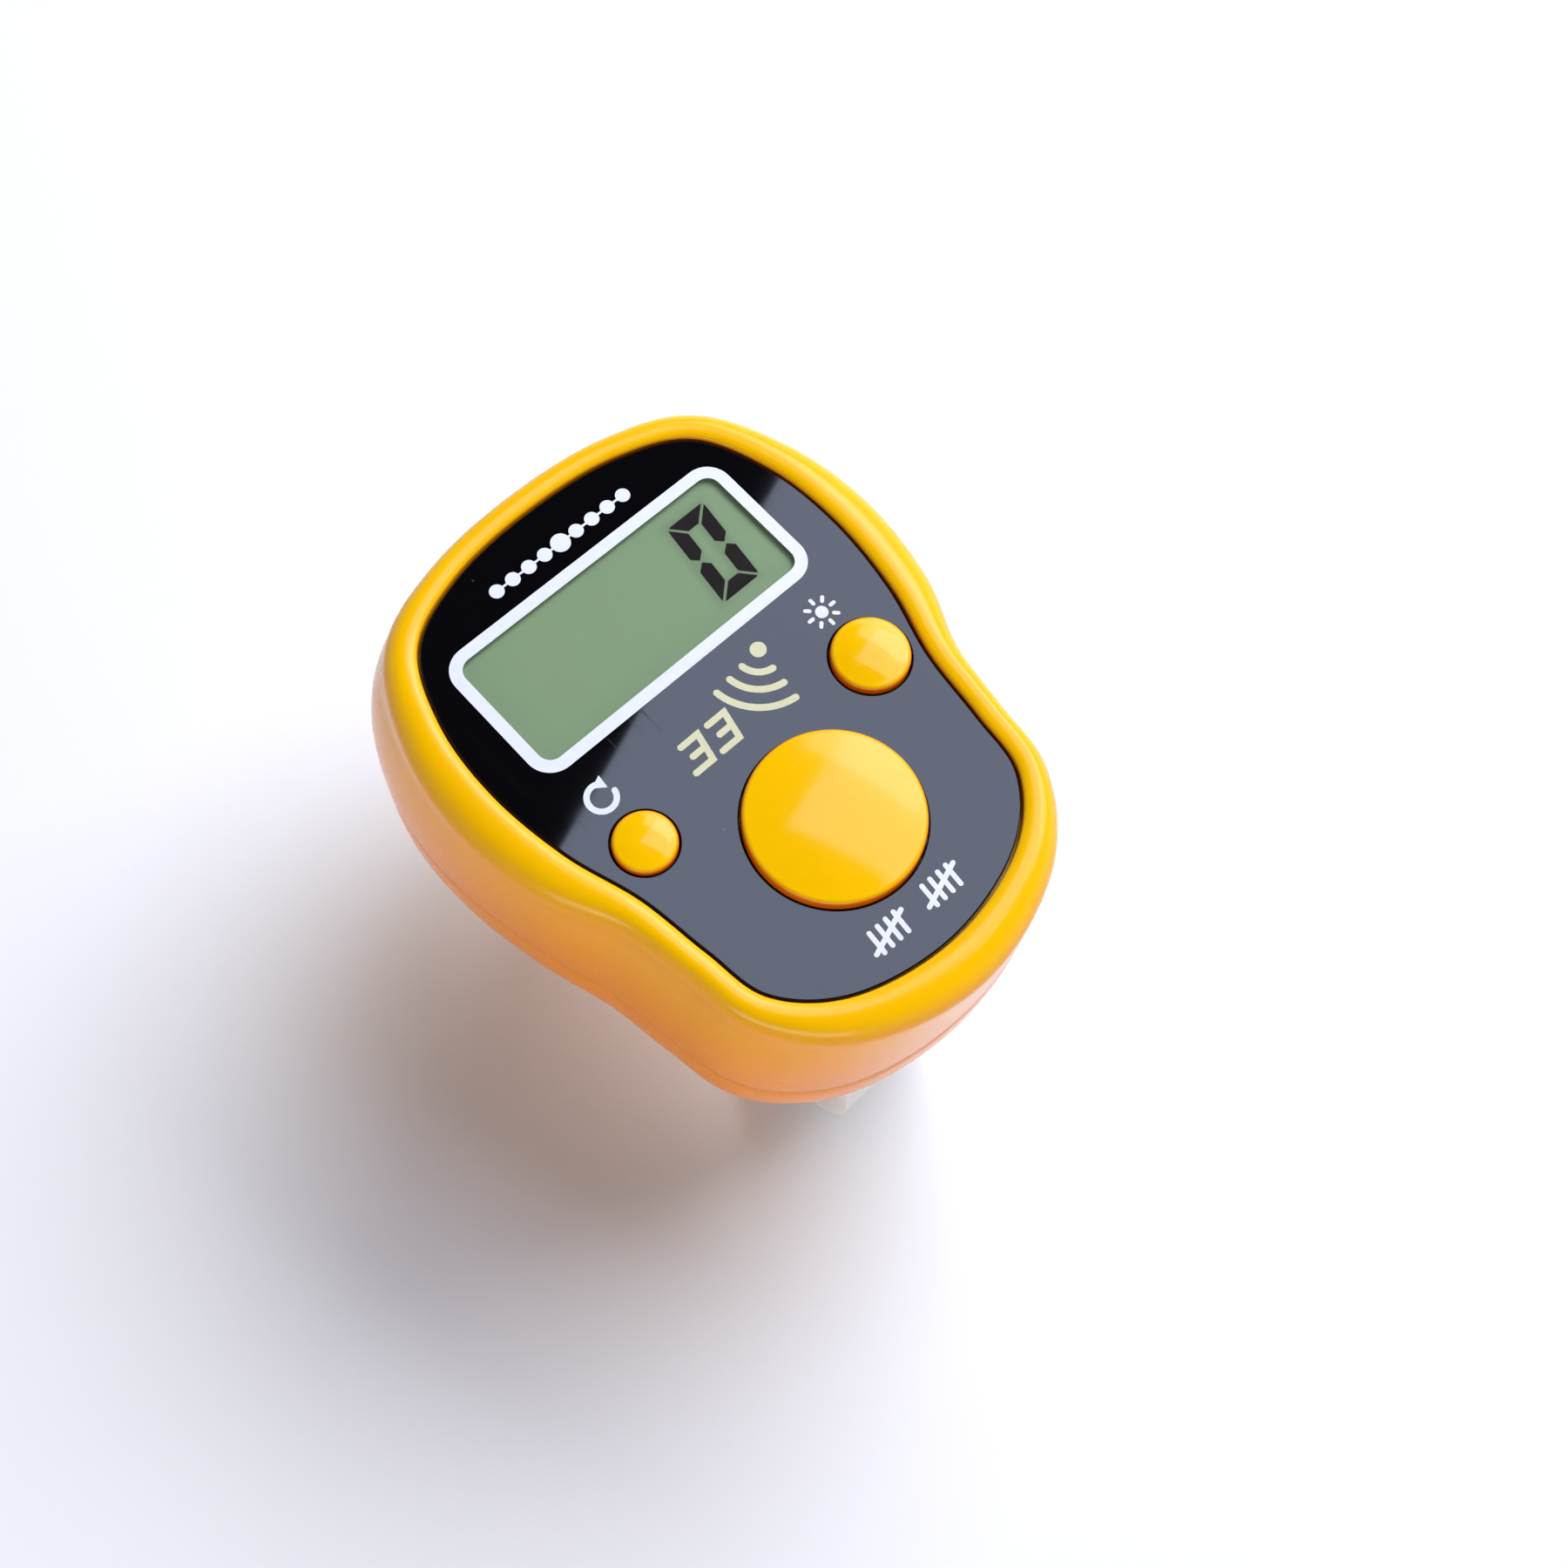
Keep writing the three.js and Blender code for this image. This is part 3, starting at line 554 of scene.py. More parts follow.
@dataclass(frozen=True)
class BoardLaminate(Finish):
    """Solder mask over glass cloth, with copper tracks under it."""

    track: tuple[int, int, int] = (70, 150, 84)

    def dress(self, graph: MaterialGraph) -> None:
        """Weave, tracks and a satin mask."""
        across = graph.node(
            "ShaderNodeTexWave", {"bands_direction": "X"}, {"Vector": graph.place, "Scale": 900.0},
            "Fac",
        )
        along = graph.node(
            "ShaderNodeTexWave", {"bands_direction": "Y"}, {"Vector": graph.place, "Scale": 900.0},
            "Fac",
        )
        tracks = graph.node(
            "ShaderNodeTexVoronoi", {"distance": "CHEBYCHEV", "feature": "F1"},
            {"Vector": graph.place, "Scale": 330.0},
        ).ramp(0.46, 0.40)
        base = self.mottled(graph, 0.4, 0.05)
        graph.surface(
            Base_Color=graph.blend(tracks * 0.4, base, colour(*self.track)),
            Roughness=self.roughness + across * along * 0.12,
            Normal=graph.bump(across * along + tracks * 0.5, 0.02, 0.5),
        )


@dataclass(frozen=True)
class DullMoulding(Finish):
    """Plain moulded or cast material of the inner parts, with a fine grain."""

    grain: float = 3.0
    relief: float = 0.01

    def dress(self, graph: MaterialGraph) -> None:
        """Tint, grain and an uneven gloss."""
        grain = graph.noise(self.grain, 4.0)
        graph.surface(
            Base_Color=self.mottled(graph, 0.6, 0.04),
            Roughness=self.roughness + grain * 0.15,
            Normal=graph.bump(grain, self.relief, 0.6),
        )


@dataclass(frozen=True)
class MilkyBand(Finish):
    """Soft milky plastic of the finger band: light sinks into it, and skin has dulled it."""

    pale: tuple[int, int, int] = (222, 217, 214)

    def dress(self, graph: MaterialGraph) -> None:
        """Milky body, a soft satin skin, flow lines and faint stretch marks."""
        flow = graph.noise(0.25, 4.0, (1.0, 0.35, 0.35)).ramp(0.35, 0.7)
        handled = graph.noise(0.9, 5.0).ramp(0.45, 0.8)
        ripple = graph.noise(1.6, 3.0, (0.15, 1.0, 1.0))
        graph.surface(
            Base_Color=graph.blend(flow, colour(*self.tint), colour(*self.pale)),
            Roughness=self.roughness + handled * 0.16,
            Subsurface_Weight=0.45,
            Subsurface_Radius=(1.0, 0.9, 0.8),
            Subsurface_Scale=1.6 * MILLIMETRE,
            IOR=1.48,
            Normal=graph.bump(ripple + handled * 0.3, 0.02, 0.5),
        )


# Shapes


class Cut(Enum):
    """How one closed shape acts on another."""

    JOIN = "UNION"
    REMOVE = "DIFFERENCE"
    KEEP = "INTERSECT"


class Shape:
    """One closed shape in the making, in the case's own millimetres."""

    def __init__(self) -> None:
        """Starts with nothing in it."""
        self.bm = bmesh.new()

    @classmethod
    def turned(
        cls, profile: Sequence[Sequence[float]], centre: Sequence[float], steps: int = ROUND_STEPS,
    ) -> "Shape":
        """Turns a profile about an upright axis.

        Args:
            profile: Radius and level of each point, from the axis back to the axis.
            centre: X and Y of the axis.
            steps: Steps of the turn.

        Returns:
            The turned shape.
        """
        shape = cls()
        verts = [shape.bm.verts.new((radius, 0, level)) for radius, level in profile]
        edges = [shape.bm.edges.new(pair) for pair in zip(verts, verts[1:])]
        bmesh.ops.spin(
            shape.bm, geom=[*verts, *edges], cent=(0, 0, 0), axis=(0, 0, 1), dvec=(0, 0, 0),
            angle=math.tau, steps=steps, use_merge=True, use_duplicate=False,
        )
        bmesh.ops.remove_doubles(shape.bm, verts=shape.bm.verts[:], dist=MERGE_DISTANCE)
        flat_poles = [
            vert for vert in shape.bm.verts
            if vert.co.xy.length < MERGE_DISTANCE
            and all(abs(edge.other_vert(vert).co.z - vert.co.z) < 1e-6 for edge in vert.link_edges)
        ]
        bmesh.ops.dissolve_verts(shape.bm, verts=flat_poles)
        return shape.moved(Matrix.Translation((centre[0], centre[1], 0)))

    @classmethod
    def drum(
        cls,
        radius: float,
        levels: Sequence[float],
        centre: Sequence[float],
        steps: int = ROUND_STEPS,
    ) -> "Shape":
        """A plain upright drum.

        Args:
            radius: Its radius.
            levels: Its two levels.
            centre: X and Y of its axis.
            steps: Steps of its round.

        Returns:
            The drum.
        """
        low, high = levels
        return cls.turned([(0, low), (radius, low), (radius, high), (0, high)], centre, steps)

    @classmethod
    def bar(
        cls, radius: float, ends: Sequence[float], centre: Sequence[float], chamfer: float,
    ) -> "Shape":
        """A round bar along X.

        Args:
            radius: Its radius.
            ends: X of its two ends.
            centre: Y and level of its axis.
            chamfer: Chamfer of both ends.

        Returns:
            The bar.
        """
        low, high = ends
        profile = [
            (0, low), (radius - chamfer, low), (radius, low + chamfer),
            (radius, high - chamfer), (radius - chamfer, high), (0, high),
        ]
        lie_down = Matrix(((0, 0, 1, 0), (1, 0, 0, centre[0]), (0, 1, 0, centre[1]), (0, 0, 0, 1)))
        return cls.turned(profile, (0, 0)).moved(lie_down)

    @classmethod
    def strip(cls, rungs: Sequence[tuple[Sequence[float], Sequence[float]]]) -> "Shape":
        """A strip of faces, drawn out from rung to rung.

        Args:
            rungs: The two ends of each rung.

        Returns:
            The strip.
        """
        shape = cls()
        pair = [shape.bm.verts.new(end) for end in rungs[0]]
        edge = shape.bm.edges.new(pair)
        for rung in rungs[1:]:
            grown = bmesh.ops.extrude_edge_only(shape.bm, edges=[edge])["geom"]
            fresh = {item for item in grown if isinstance(item, bmesh.types.BMVert)}
            pair = followers(pair, fresh)
            edge = shape.bm.edges.get(pair)
            for vert, end in zip(pair, rung):
                vert.co = end
        return shape

    @classmethod
    def slab(
        cls,
        across: Sequence[float],
        up: Sequence[float],
        levels: Sequence[float],
        corner: float = 0.0,
    ) -> "Shape":
        """A flat slab with rounded corners.

        Args:
            across: Its two X.
            up: Its two Y.
            levels: Its two levels.
            corner: Radius of its upright edges.

        Returns:
            The slab.
        """
        shape = cls()
        bmesh.ops.create_grid(shape.bm, x_segments=1, y_segments=1, size=0.5)
        size = Vector((across[1] - across[0], up[1] - up[0], 1))
        shape.moved(Matrix.Diagonal((*size, 1)))
        middle = ((across[0] + across[1]) / 2, (up[0] + up[1]) / 2, levels[0])
        shape.moved(Matrix.Translation(middle))
        if corner:
            bmesh.ops.bevel(
                shape.bm, geom=shape.bm.verts[:], offset=corner, offset_type="OFFSET", segments=12,
                profile=0.5, affect="VERTICES", material=-1,
            )
        return shape.raised(levels[1] - levels[0])

    def moved(self, matrix: Matrix) -> "Shape":
        """Moves the whole shape by a matrix, and returns it."""
        self.bm.transform(matrix)
        return self

    def raised(self, height: float) -> "Shape":
        """Gives flat faces a thickness upwards, and returns the shape."""
        grown = bmesh.ops.extrude_face_region(self.bm, geom=self.bm.faces[:])["geom"]
        verts = [item for item in grown if isinstance(item, bmesh.types.BMVert)]
        bmesh.ops.translate(self.bm, vec=(0, 0, height), verts=verts)
        bmesh.ops.recalc_face_normals(self.bm, faces=self.bm.faces[:])
        return self

    def softened(self, width: float, segments: int, least: float = 50.0) -> "Shape":
        """Rounds the shape's outer sharp edges.

        Args:
            width: How far back from the edge the rounding starts.
            segments: Its segments.
            least: The least angle of an edge that counts as sharp, in degrees.

        Returns:
            The shape.
        """
        self.cleaned()
        sharp = [
            edge for edge in self.bm.edges
            if len(edge.link_faces) == 2 and edge.is_convex
            and edge.calc_face_angle(0.0) > math.radians(least)
        ]
        bmesh.ops.bevel(
            self.bm, geom=sharp, offset=width, offset_type="OFFSET", segments=segments,
            profile=0.5, affect="EDGES", material=-1, clamp_overlap=True,
        )
        return self

    def cleaned(self) -> "Shape":
        """Merges doubled points and turns all faces outwards, and returns the shape."""
        bmesh.ops.remove_doubles(self.bm, verts=self.bm.verts[:], dist=MERGE_DISTANCE)
        bmesh.ops.recalc_face_normals(self.bm, faces=self.bm.faces[:])
        return self

    def with_cuts(self, how: Cut, tools: Iterable["Shape"]) -> "Shape":
        """Joins other closed shapes to this one, or cuts it by them.

        Args:
            how: What the others do.
            tools: The other shapes, which are used up.

        Returns:
            This shape.
        """
        base = self.cleaned().loose_object("base")
        helpers = [tool.cleaned().loose_object("tool") for tool in tools]
        for helper in helpers:
            modifier = base.modifiers.new("cut", "BOOLEAN")
            modifier.object = helper
            modifier.operation = how.value
            modifier.solver = "EXACT"
        graph = bpy.context.evaluated_depsgraph_get()
        result = bpy.data.meshes.new_from_object(base.evaluated_get(graph))
        self.bm.clear()
        self.bm.from_mesh(result)
        bpy.data.meshes.remove(result)
        for spare in [base, *helpers]:
            mesh = spare.data
            bpy.data.objects.remove(spare)
            bpy.data.meshes.remove(mesh)
        return self

    def loose_object(self, name: str) -> bpy.types.Object:
        """The shape as an object of its own, in millimetres.

        Args:
            name: The object's name.

        Returns:
            The object, linked to the scene.
        """
        mesh = bpy.data.meshes.new(name)
        self.bm.to_mesh(mesh)
        made = bpy.data.objects.new(name, mesh)
        bpy.context.scene.collection.objects.link(made)
        return made

    def settled(
        self,
        name: str,
        finish: Finish,
        body: str,
        slot: str,
        replaces: Sequence[str] = (),
        crease: float = 32.0,
    ) -> bpy.types.Object:
        """Makes the finished piece and puts it in its place.

        Args:
            name: The piece's name.
            finish: What it wears.
            body: The body that it rides on.
            slot: The record's material slot.
            replaces: The nodes that it stands for.
            crease: Edges bent by more than this stay sharp, in degrees.

        Returns:
            slot: The record's material slot; not used.
        """
        self.cleaned().moved(case_place())
        made = self.loose_object(name)
        made.name = name
        made.data.name = name
        made.data.shade_smooth()
        made.data.set_sharp_from_angle(angle=math.radians(crease))
        made.data.materials.append(finish.material())
        open_edges = sum(1 for edge in self.bm.edges if not edge.is_manifold)
        log.info("%s: %d faces, %d open edges", name, len(self.bm.faces), open_edges)
        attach(made, body)
        if replaces:
            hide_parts(*replaces)
        return made


def case_place() -> Matrix:
    """The matrix from the case's millimetres to the frame's metres."""
    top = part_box("face_plate")[1].z
    low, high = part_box("count_button")
    middle_y = (low.y + high.y) / 2 - COUNT.y * MILLIMETRE
    return Matrix.Translation((0, middle_y, top)) @ Matrix.Scale(MILLIMETRE, 4)


@dataclass(frozen=True)
class Station:
    """One point of the face's outline: its place, its outward normal and the wall there."""

    place: Vector
    normal: Vector
    rim: float
    flare: float


@dataclass
class CaseOutline:
    """The case's outline, a smooth closed curve through a few rows.

    Each row is X, Y, the width of the rim there and the flare at the parting line.
    """

    rows: tuple[tuple[float, float, float, float], ...] = (
        (0.0, 18.0, 1.8, 3.3), (6.2, 17.35, 1.85, 3.45), (10.6, 15.3, 2.1, 3.7),
        (12.75, 10.8, 2.45, 3.75), (13.35, 5.6, 2.75, 3.55), (12.7, 0.0, 2.65, 3.3),
        (11.3, -4.8, 2.05, 3.3), (10.65, -9.4, 1.85, 3.2), (9.9, -13.4, 1.95, 3.0),
        (6.6, -16.5, 2.4, 2.75), (0.0, -18.0, 2.8, 2.55),
    )
    steps: int = 12
    shoulder: float = -1.3
    parting: float = -9.2
    skin: float = 0.012
    stations: list[Station] = field(default_factory=list)

    def __post_init__(self) -> None:
        """Samples the curve, counter-clockwise seen from above."""
        mirrored = [(-x, y, rim, flare) for x, y, rim, flare in self.rows[1:-1]]
        rows = [*self.rows, *reversed(mirrored)][::-1]
        count = len(rows)
        for index in range(count):
            near = [rows[(index + shift) % count] for shift in (-1, 0, 1, 2)]
            spots = [Vector(row[:2]) for row in near]
            widths = [Vector(row[2:]) for row in near]
            gaps = [(b - a).length ** 0.5 for a, b in zip(spots, spots[1:])]
            for step in range(self.steps):
                share = step / self.steps
                place, along = self.through(spots, gaps, share)
                wall, _ = self.through(widths, (1.0, 1.0, 1.0), share)
                normal = Vector((along.y, -along.x)).normalized()
                self.stations.append(Station(place, normal, wall.x, wall.y))

    @staticmethod
    def through(
        points: Sequence[Vector], gaps: Sequence[float], share: float,
    ) -> tuple[Vector, Vector]:
        """A smooth curve between the middle two of four points.

        Args:
            points: The four points.
            gaps: The spans that the curve allows between them.
            share: How far along, from 0 to 1.

        Returns:
            The point there and the curve's direction.
        """
        first, second, third, fourth = points
        before, between, after = gaps
        leaving = (second - first) / before - (third - first) / (before + between)
        leaving = (leaving + (third - second) / between) * between
        arriving = (third - second) / between - (fourth - second) / (between + after)
        arriving = (arriving + (fourth - third) / after) * between
        square = 3 * (third - second) - 2 * leaving - arriving
        cube = 2 * (second - third) + leaving + arriving
        spot = second + leaving * share + square * share ** 2 + cube * share ** 3
        return spot, leaving + 2 * square * share + 3 * cube * share ** 2

    def wall(self, station: Station, level: float) -> float:
        """How far the outer wall is outside the face at a level.

        Args:
            station: Where on the outline.
            level: The level, at the rim's shoulder or below.

        Returns:
            The offset.
        """
        fall = min(1.0, max(0.0, (self.shoulder - level) / (self.shoulder - self.parting)))
        return station.rim + (station.flare - station.rim) * (1 - (1 - fall) ** 2) - self.skin


Offset = Callable[[Station], float]


def followers(verts: Iterable[bmesh.types.BMVert], fresh: set[bmesh.types.BMVert]) -> list[Any]:
    """Finds what grew out of points in an extrusion.

    Args:
        verts: The points that were extruded.
        fresh: All points that the extrusion made.

    Returns:
        For each point, the new one that hangs on it.
    """
    return [
        next(edge.other_vert(vert) for edge in vert.link_edges if edge.other_vert(vert) in fresh)
        for vert in verts
    ]


class RingSkin(Shape):
    """A closed skin through rings that all follow the case's outline."""

    def __init__(self, outline: CaseOutline, offset: Offset, level: float) -> None:
        """Starts with the first ring, filled in.

        Args:
            outline: The outline that the rings follow.
            offset: How far outside the face the first ring is at a station.
            level: Its level.
        """
        super().__init__()
        self.outline = outline
        made = bmesh.ops.create_circle(self.bm, segments=len(outline.stations), radius=1.0)
        self.ring = made["verts"]
        self.edges = self.bm.edges[:]
        self.lay(offset, level)
        self.fill()

    def lay(self, offset: Offset, level: float) -> None:
        """Puts the present ring in place.

        Args:
            offset: How far outside the face it is at a station.
            level: Its level.
        """
        for vert, station in zip(self.ring, self.outline.stations):
            spot = station.place + station.normal * offset(station)
            vert.co = (spot.x, spot.y, level)

    def rise(self, offset: Offset, level: float) -> "RingSkin":
        """Draws the skin on to a next ring.

        Args:
            offset: How far outside the face that ring is at a station.
            level: Its level.

        Returns:
            The skin.
        """
        grown = bmesh.ops.extrude_edge_only(self.bm, edges=self.edges)["geom"]
        fresh = {item for item in grown if isinstance(item, bmesh.types.BMVert)}
        self.edges = [
            item for item in grown
            if isinstance(item, bmesh.types.BMEdge) and set(item.verts) <= fresh
        ]
        self.ring = followers(self.ring, fresh)
        self.lay(offset, level)
        return self

    def fill(self) -> "RingSkin":
        """Fills the present ring with a flat face, and returns the skin."""
        bmesh.ops.contextual_create(self.bm, geom=self.edges)
        return self


def quarter(steps: int) -> list[float]:
    """Angles from 0 to a quarter turn, in radians.

    Args:
        steps: How many steps.

    Returns:
        The angles, with both ends.
    """
    return [math.pi / 2 * step / steps for step in range(steps + 1)]


@dataclass(frozen=True)
class ButtonSize:
    """A push button's place and size."""

    name: str
    x: float
    y: float
    radius: float
    rise: float
    dome: float
    flange: float
    travel: float = 0.6

    @property
    def axis(self) -> tuple[float, float]:
        """X and Y of its axis."""
        return self.x, self.y


COUNT = ButtonSize("count", 0.0, -8.44, 5.3, 0.75, 0.44, 0.9)
RESET = ButtonSize("reset", -8.85, -2.4, 1.9, 0.4, 0.22, 0.7, 0.5)
LIGHT = ButtonSize("light", 8.59, -2.51, 2.4, 0.55, 0.28, 0.7, 0.5)
BUTTONS = (COUNT, RESET, LIGHT)


@dataclass(frozen=True)
class NumeralShape:
    """The display's slanted numeral nought, drawn in segments."""

    left: float = 4.58
    foot: float = 5.73
    width: float = 3.06
    height: float = 6.04
    bar: float = 1.1
    slant: float = 0.125
    gap: float = 0.09
    corner: float = 0.38
    shadow_shift: tuple[float, float] = (-0.14, 0.10)

    def shadow(self, graph: MaterialGraph) -> Flow:
        """The numeral's soft shadow on the film, as a mask.

        Args:
            graph: The film's tree.

        Returns:
            A flow between 0 and 1.
        """
        place = case_place()
        shift_x, shift_y = self.shadow_shift
        middle = place @ Vector((
            self.left + (self.width + self.slant * self.height) / 2 + shift_x,
            self.foot + self.height / 2 + shift_y, 0,
        ))
        up = (graph.axis("Y") - middle.y) / MILLIMETRE
        side = (graph.axis("X") - middle.x) / MILLIMETRE
        side = (side - up * self.slant).size() - (self.width - self.bar) / 2
        top = up.size() - (self.height - self.bar) / 2
        return side.greater(top).size().ramp(self.bar * 0.95, self.bar * 0.2)

    def segments(self) -> list[list[tuple[float, float]]]:
        """The six segments of a nought, before they slant.

        Returns:
            The corners of each, with the numeral's foot at Y 0 and its left side at X 0.
        """
        wide, high, bar = self.width, self.height, self.bar
        half = high / 2
        bend = [
            (self.corner * (1 - math.cos(turn)), self.corner * (1 - math.sin(turn)))
            for turn in quarter(6)
        ]
        point = half - 0.42 * bar
        lower = [*bend[3::-1], (0, point), (bar / 2, half + 0.03), (bar, point), (bar, bar)]
        upper = [(x, high - y) for x, y in lower]
        left = [lower, upper]
        right = [[(wide - x, y) for x, y in segment] for segment in left]
        heel = bend[3:]
        foot = [*heel, *[(wide - x, y) for x, y in reversed(heel)], (wide - bar, bar), (bar, bar)]
        head = [(x, high - y) for x, y in foot]
        return [*left, *right, foot, head]


# Finishes of this counter

# The amber finishes carry painted shade: a deeper orange low down and on the sides, stronger on the
# buttons.
AMBER_CASE = MouldedPlastic("amber_case", (254, 191, 2), 0.18)
AMBER_BUTTON = MouldedPlastic(
    "amber_button", (254, 193, 2), 0.10, (230, 92, 2), (0.4, -2.0), 0.9, (0.985, 0.3),
)
BLACK_PLATE = PolishedPlate("black_plate", (8, 7, 10), 0.03)
CLEAR_PANE = ClearPane("clear_pane", (225, 235, 228), 0.04, 0.01)
NUMERAL = NumeralShape()
GREEN_FILM = DisplayFilm("green_film", (122, 145, 110), 0.5, NUMERAL)
REAR_FILM = DisplayFilm("rear_film", (121, 142, 109), 0.5, None, 0.0)
SEGMENT_INK = PrintedInk("segment_ink", (24, 17, 18), 0.6, 0.02)
WHITE_INK = PrintedInk("white_ink", (230, 233, 237), 0.42, 0.2)
CREAM_INK = PrintedInk("cream_ink", (216, 213, 176), 0.42, 0.2)
CELL_GLASS = ClearPane("cell_glass", (200, 214, 205), 0.06, 0.5)
WHITE_MOULDING = DullMoulding("white_moulding", (232, 232, 226), 0.42)
BLACK_MOULDING = DullMoulding("black_moulding", (26, 26, 28), 0.45)
ZEBRA_RUBBER = DullMoulding("zebra_rubber", (44, 44, 47), 0.75, 1.5, 0.03)
GREEN_BOARD = BoardLaminate("green_board", (28, 98, 52), 0.38)
DARK_RESIN = DullMoulding("dark_resin", (20, 19, 20), 0.3, 1.2, 0.04)
FIRED_CERAMIC = DullMoulding("fired_ceramic", (214, 207, 190), 0.5, 5.0, 0.01)
SCREW_STEEL = WorkedMetal("screw_steel", (190, 192, 196), 0.26, Lay.TURNED)
CELL_STEEL = WorkedMetal("cell_steel", (200, 202, 205), 0.22, Lay.STAMPED)
SPRING_BRASS = WorkedMetal("spring_brass", (206, 170, 92), 0.28, Lay.DRAWN)
RED_LEAD = DullMoulding("red_lead", (190, 34, 30), 0.4)
BLACK_LEAD = DullMoulding("black_lead", (30, 30, 32), 0.4)
MILKY_BAND = MilkyBand("milky_band", (206, 199, 200), 0.36)


# The counter's sub-assemblies


@dataclass
class Case:
    """The upper and lower halves of the case, its screws and the peg and lugs under it."""

    outline: CaseOutline
    wall: float = 1.5
    rim_height: float = 0.4
    rim_crown: float = 0.8
    rim_drop: float = 0.35
    recess: float = -1.0
    deck: float = -2.2
    edge: float = 0.12
    board_top: float = -6.9
    board_bottom: float = -7.7
    floor: float = -11.8
    back: float = -13.2
    back_round: float = 1.3
    lip_top: float = -8.0
    lip_gap: float = 1.75
    lip_wall: float = 0.8
    glass_half: float = 10.95
    glass_y: tuple[float, float] = (2.025, 13.925)
    button_gap: float = 0.25
    screw_places: tuple[tuple[float, float], ...] = (
        (8.4, 16.3), (-8.4, 16.3), (8.4, -10.6), (-8.4, -10.6),
    )
    bore: float = 1.1
    bore_end: float = -4.2
    boss: float = 1.9
    post: float = 2.1
    head: float = 1.6
    head_seat: float = -12.1
    thread: float = 0.8
    thread_root: float = 0.66
    thread_pitch: float = 0.52
    thread_ends: tuple[float, float] = (0.35, 6.6)
    cross: tuple[float, float] = (0.95, 0.17)
    cross_depth: float = 0.45
    cell_x: float = 6.1
    cell_y: float = 8.0
    cell_room: float = 6.08
    cell_link: float = 2.7
    cradle_wall: float = 0.8
    cradle_top: float = -9.8
    pin_y: float = -15.0
    pin_level: float = -15.1
    barrel: float = 1.7
    pin_bore: float = 0.9
    lug_x: tuple[float, float] = (6.3, 7.8)
    peg_y: float = 15.8
    peg_radius: float = 1.0
    peg_end: float = -15.2

    def build(self) -> None:
        """Makes both halves and the screws."""
        self.top_shell()
        self.back_cover()
        for index, place in enumerate(self.screw_places, start=1):
            self.screw(index, place)

    def top_shell(self) -> None:
        """The upper half: a raised rim round the recess, with holes for buttons and display."""
        outline = self.outline
        shoulder, parting = outline.shoulder, outline.parting
        skin = RingSkin(outline, lambda s: outline.wall(s, self.deck) - self.wall, self.deck)
        for level in (-4.5, -7.0, parting):
            skin.rise(lambda s, z=level: outline.wall(s, z) - self.wall, level)
        for inward, up in ((1.0, 0.0), (0.3, 0.3), (0.0, 1.0)):
            skin.rise(
                lambda s, i=inward: outline.wall(s, parting) - self.edge * i,
                parting + self.edge * up,
            )
        for step in range(9, -1, -1):
            level = shoulder + (parting - shoulder) * step / 10
            skin.rise(lambda s, z=level: outline.wall(s, z), level)
        crown = self.rim_crown
        for turn in quarter(12)[1:]:
            skin.rise(
                lambda s, t=turn: crown + (s.rim - outline.skin - crown) * math.cos(t),
                shoulder + (self.rim_height - shoulder) * math.sin(turn),
            )
        inner_edge = self.rim_height - self.rim_drop
        for turn in quarter(8)[1:]:
            skin.rise(
                lambda s, t=turn: crown * (1 - math.sin(t)),
                inner_edge + self.rim_drop * math.cos(turn),
            )
        skin.rise(lambda s: 0.0, self.recess).fill()
        bosses = [
            Shape.drum(self.boss, (self.board_top, self.deck + 0.4), place, 40)
            for place in self.screw_places
        ]
        bores = [
            Shape.turned([
                (0, self.board_top - 1), (self.bore, self.board_top - 1),
                (self.bore, self.bore_end - 0.2), (0, self.bore_end),
            ], place, 40)
            for place in self.screw_places
        ]
        openings = [
            Shape.slab(
                (-self.glass_half, self.glass_half), self.glass_y,
                (self.deck - 1, self.recess + 0.6),
            ),
            *[
                Shape.drum(button.radius + self.button_gap, (self.deck - 1, 0.2), button.axis)
                for button in BUTTONS
            ],
        ]
        skin.with_cuts(Cut.JOIN, bosses).with_cuts(Cut.REMOVE, [*bores, *openings])
        skin.settled("top_shell_body", AMBER_CASE, "case", "amber_case", ["top_shell"])

    def back_cover(self) -> None:
        """The lower half: rounded tray, lip, cell cradles, screw posts, hinge lugs and peg."""
        outline = self.outline
        parting = outline.parting
        inner_lip = self.lip_gap + self.lip_wall
        skin = RingSkin(outline, lambda s: s.flare - inner_lip, self.floor)
        skin.rise(lambda s: s.flare - inner_lip, self.lip_top)
        skin.rise(lambda s: s.flare - self.lip_gap, self.lip_top)
        skin.rise(lambda s: s.flare - self.lip_gap, parting)
        for inward, down in ((1.0, 0.0), (0.3, 0.3), (0.0, 1.0)):
            skin.rise(
                lambda s, i=inward: s.flare - outline.skin - self.edge * i,
                parting - self.edge * down,
            )
        start = self.back + self.back_round
        skin.rise(lambda s: s.flare - outline.skin, (parting + start) / 2)
        for turn in quarter(8):
            skin.rise(
                lambda s, t=turn: s.flare - outline.skin - self.back_round * (1 - math.cos(t)),
                start - self.back_round * math.sin(turn),
            )
        skin.rise(lambda s: s.flare - outline.skin - self.back_round - 0.3, self.back).fill()
        cell_places = [(side * self.cell_x, self.cell_y) for side in (-1, 1)]
        cradles = [
            Shape.drum(
                self.cell_room + self.cradle_wall, (self.floor - 0.5, self.cradle_top), place,
            )
            for place in cell_places
        ]
        room_levels = (self.floor - self.edge, self.cradle_top + 1)
        rooms = [Shape.drum(self.cell_room, room_levels, place) for place in cell_places]
        slot = Shape.slab(
            (-self.cell_x, self.cell_x),
            (self.cell_y - self.cell_link, self.cell_y + self.cell_link), room_levels,
        )
        posts = [
            Shape.drum(self.post, (self.back + 0.5, self.board_bottom), place, 48)
            for place in self.screw_places
        ]
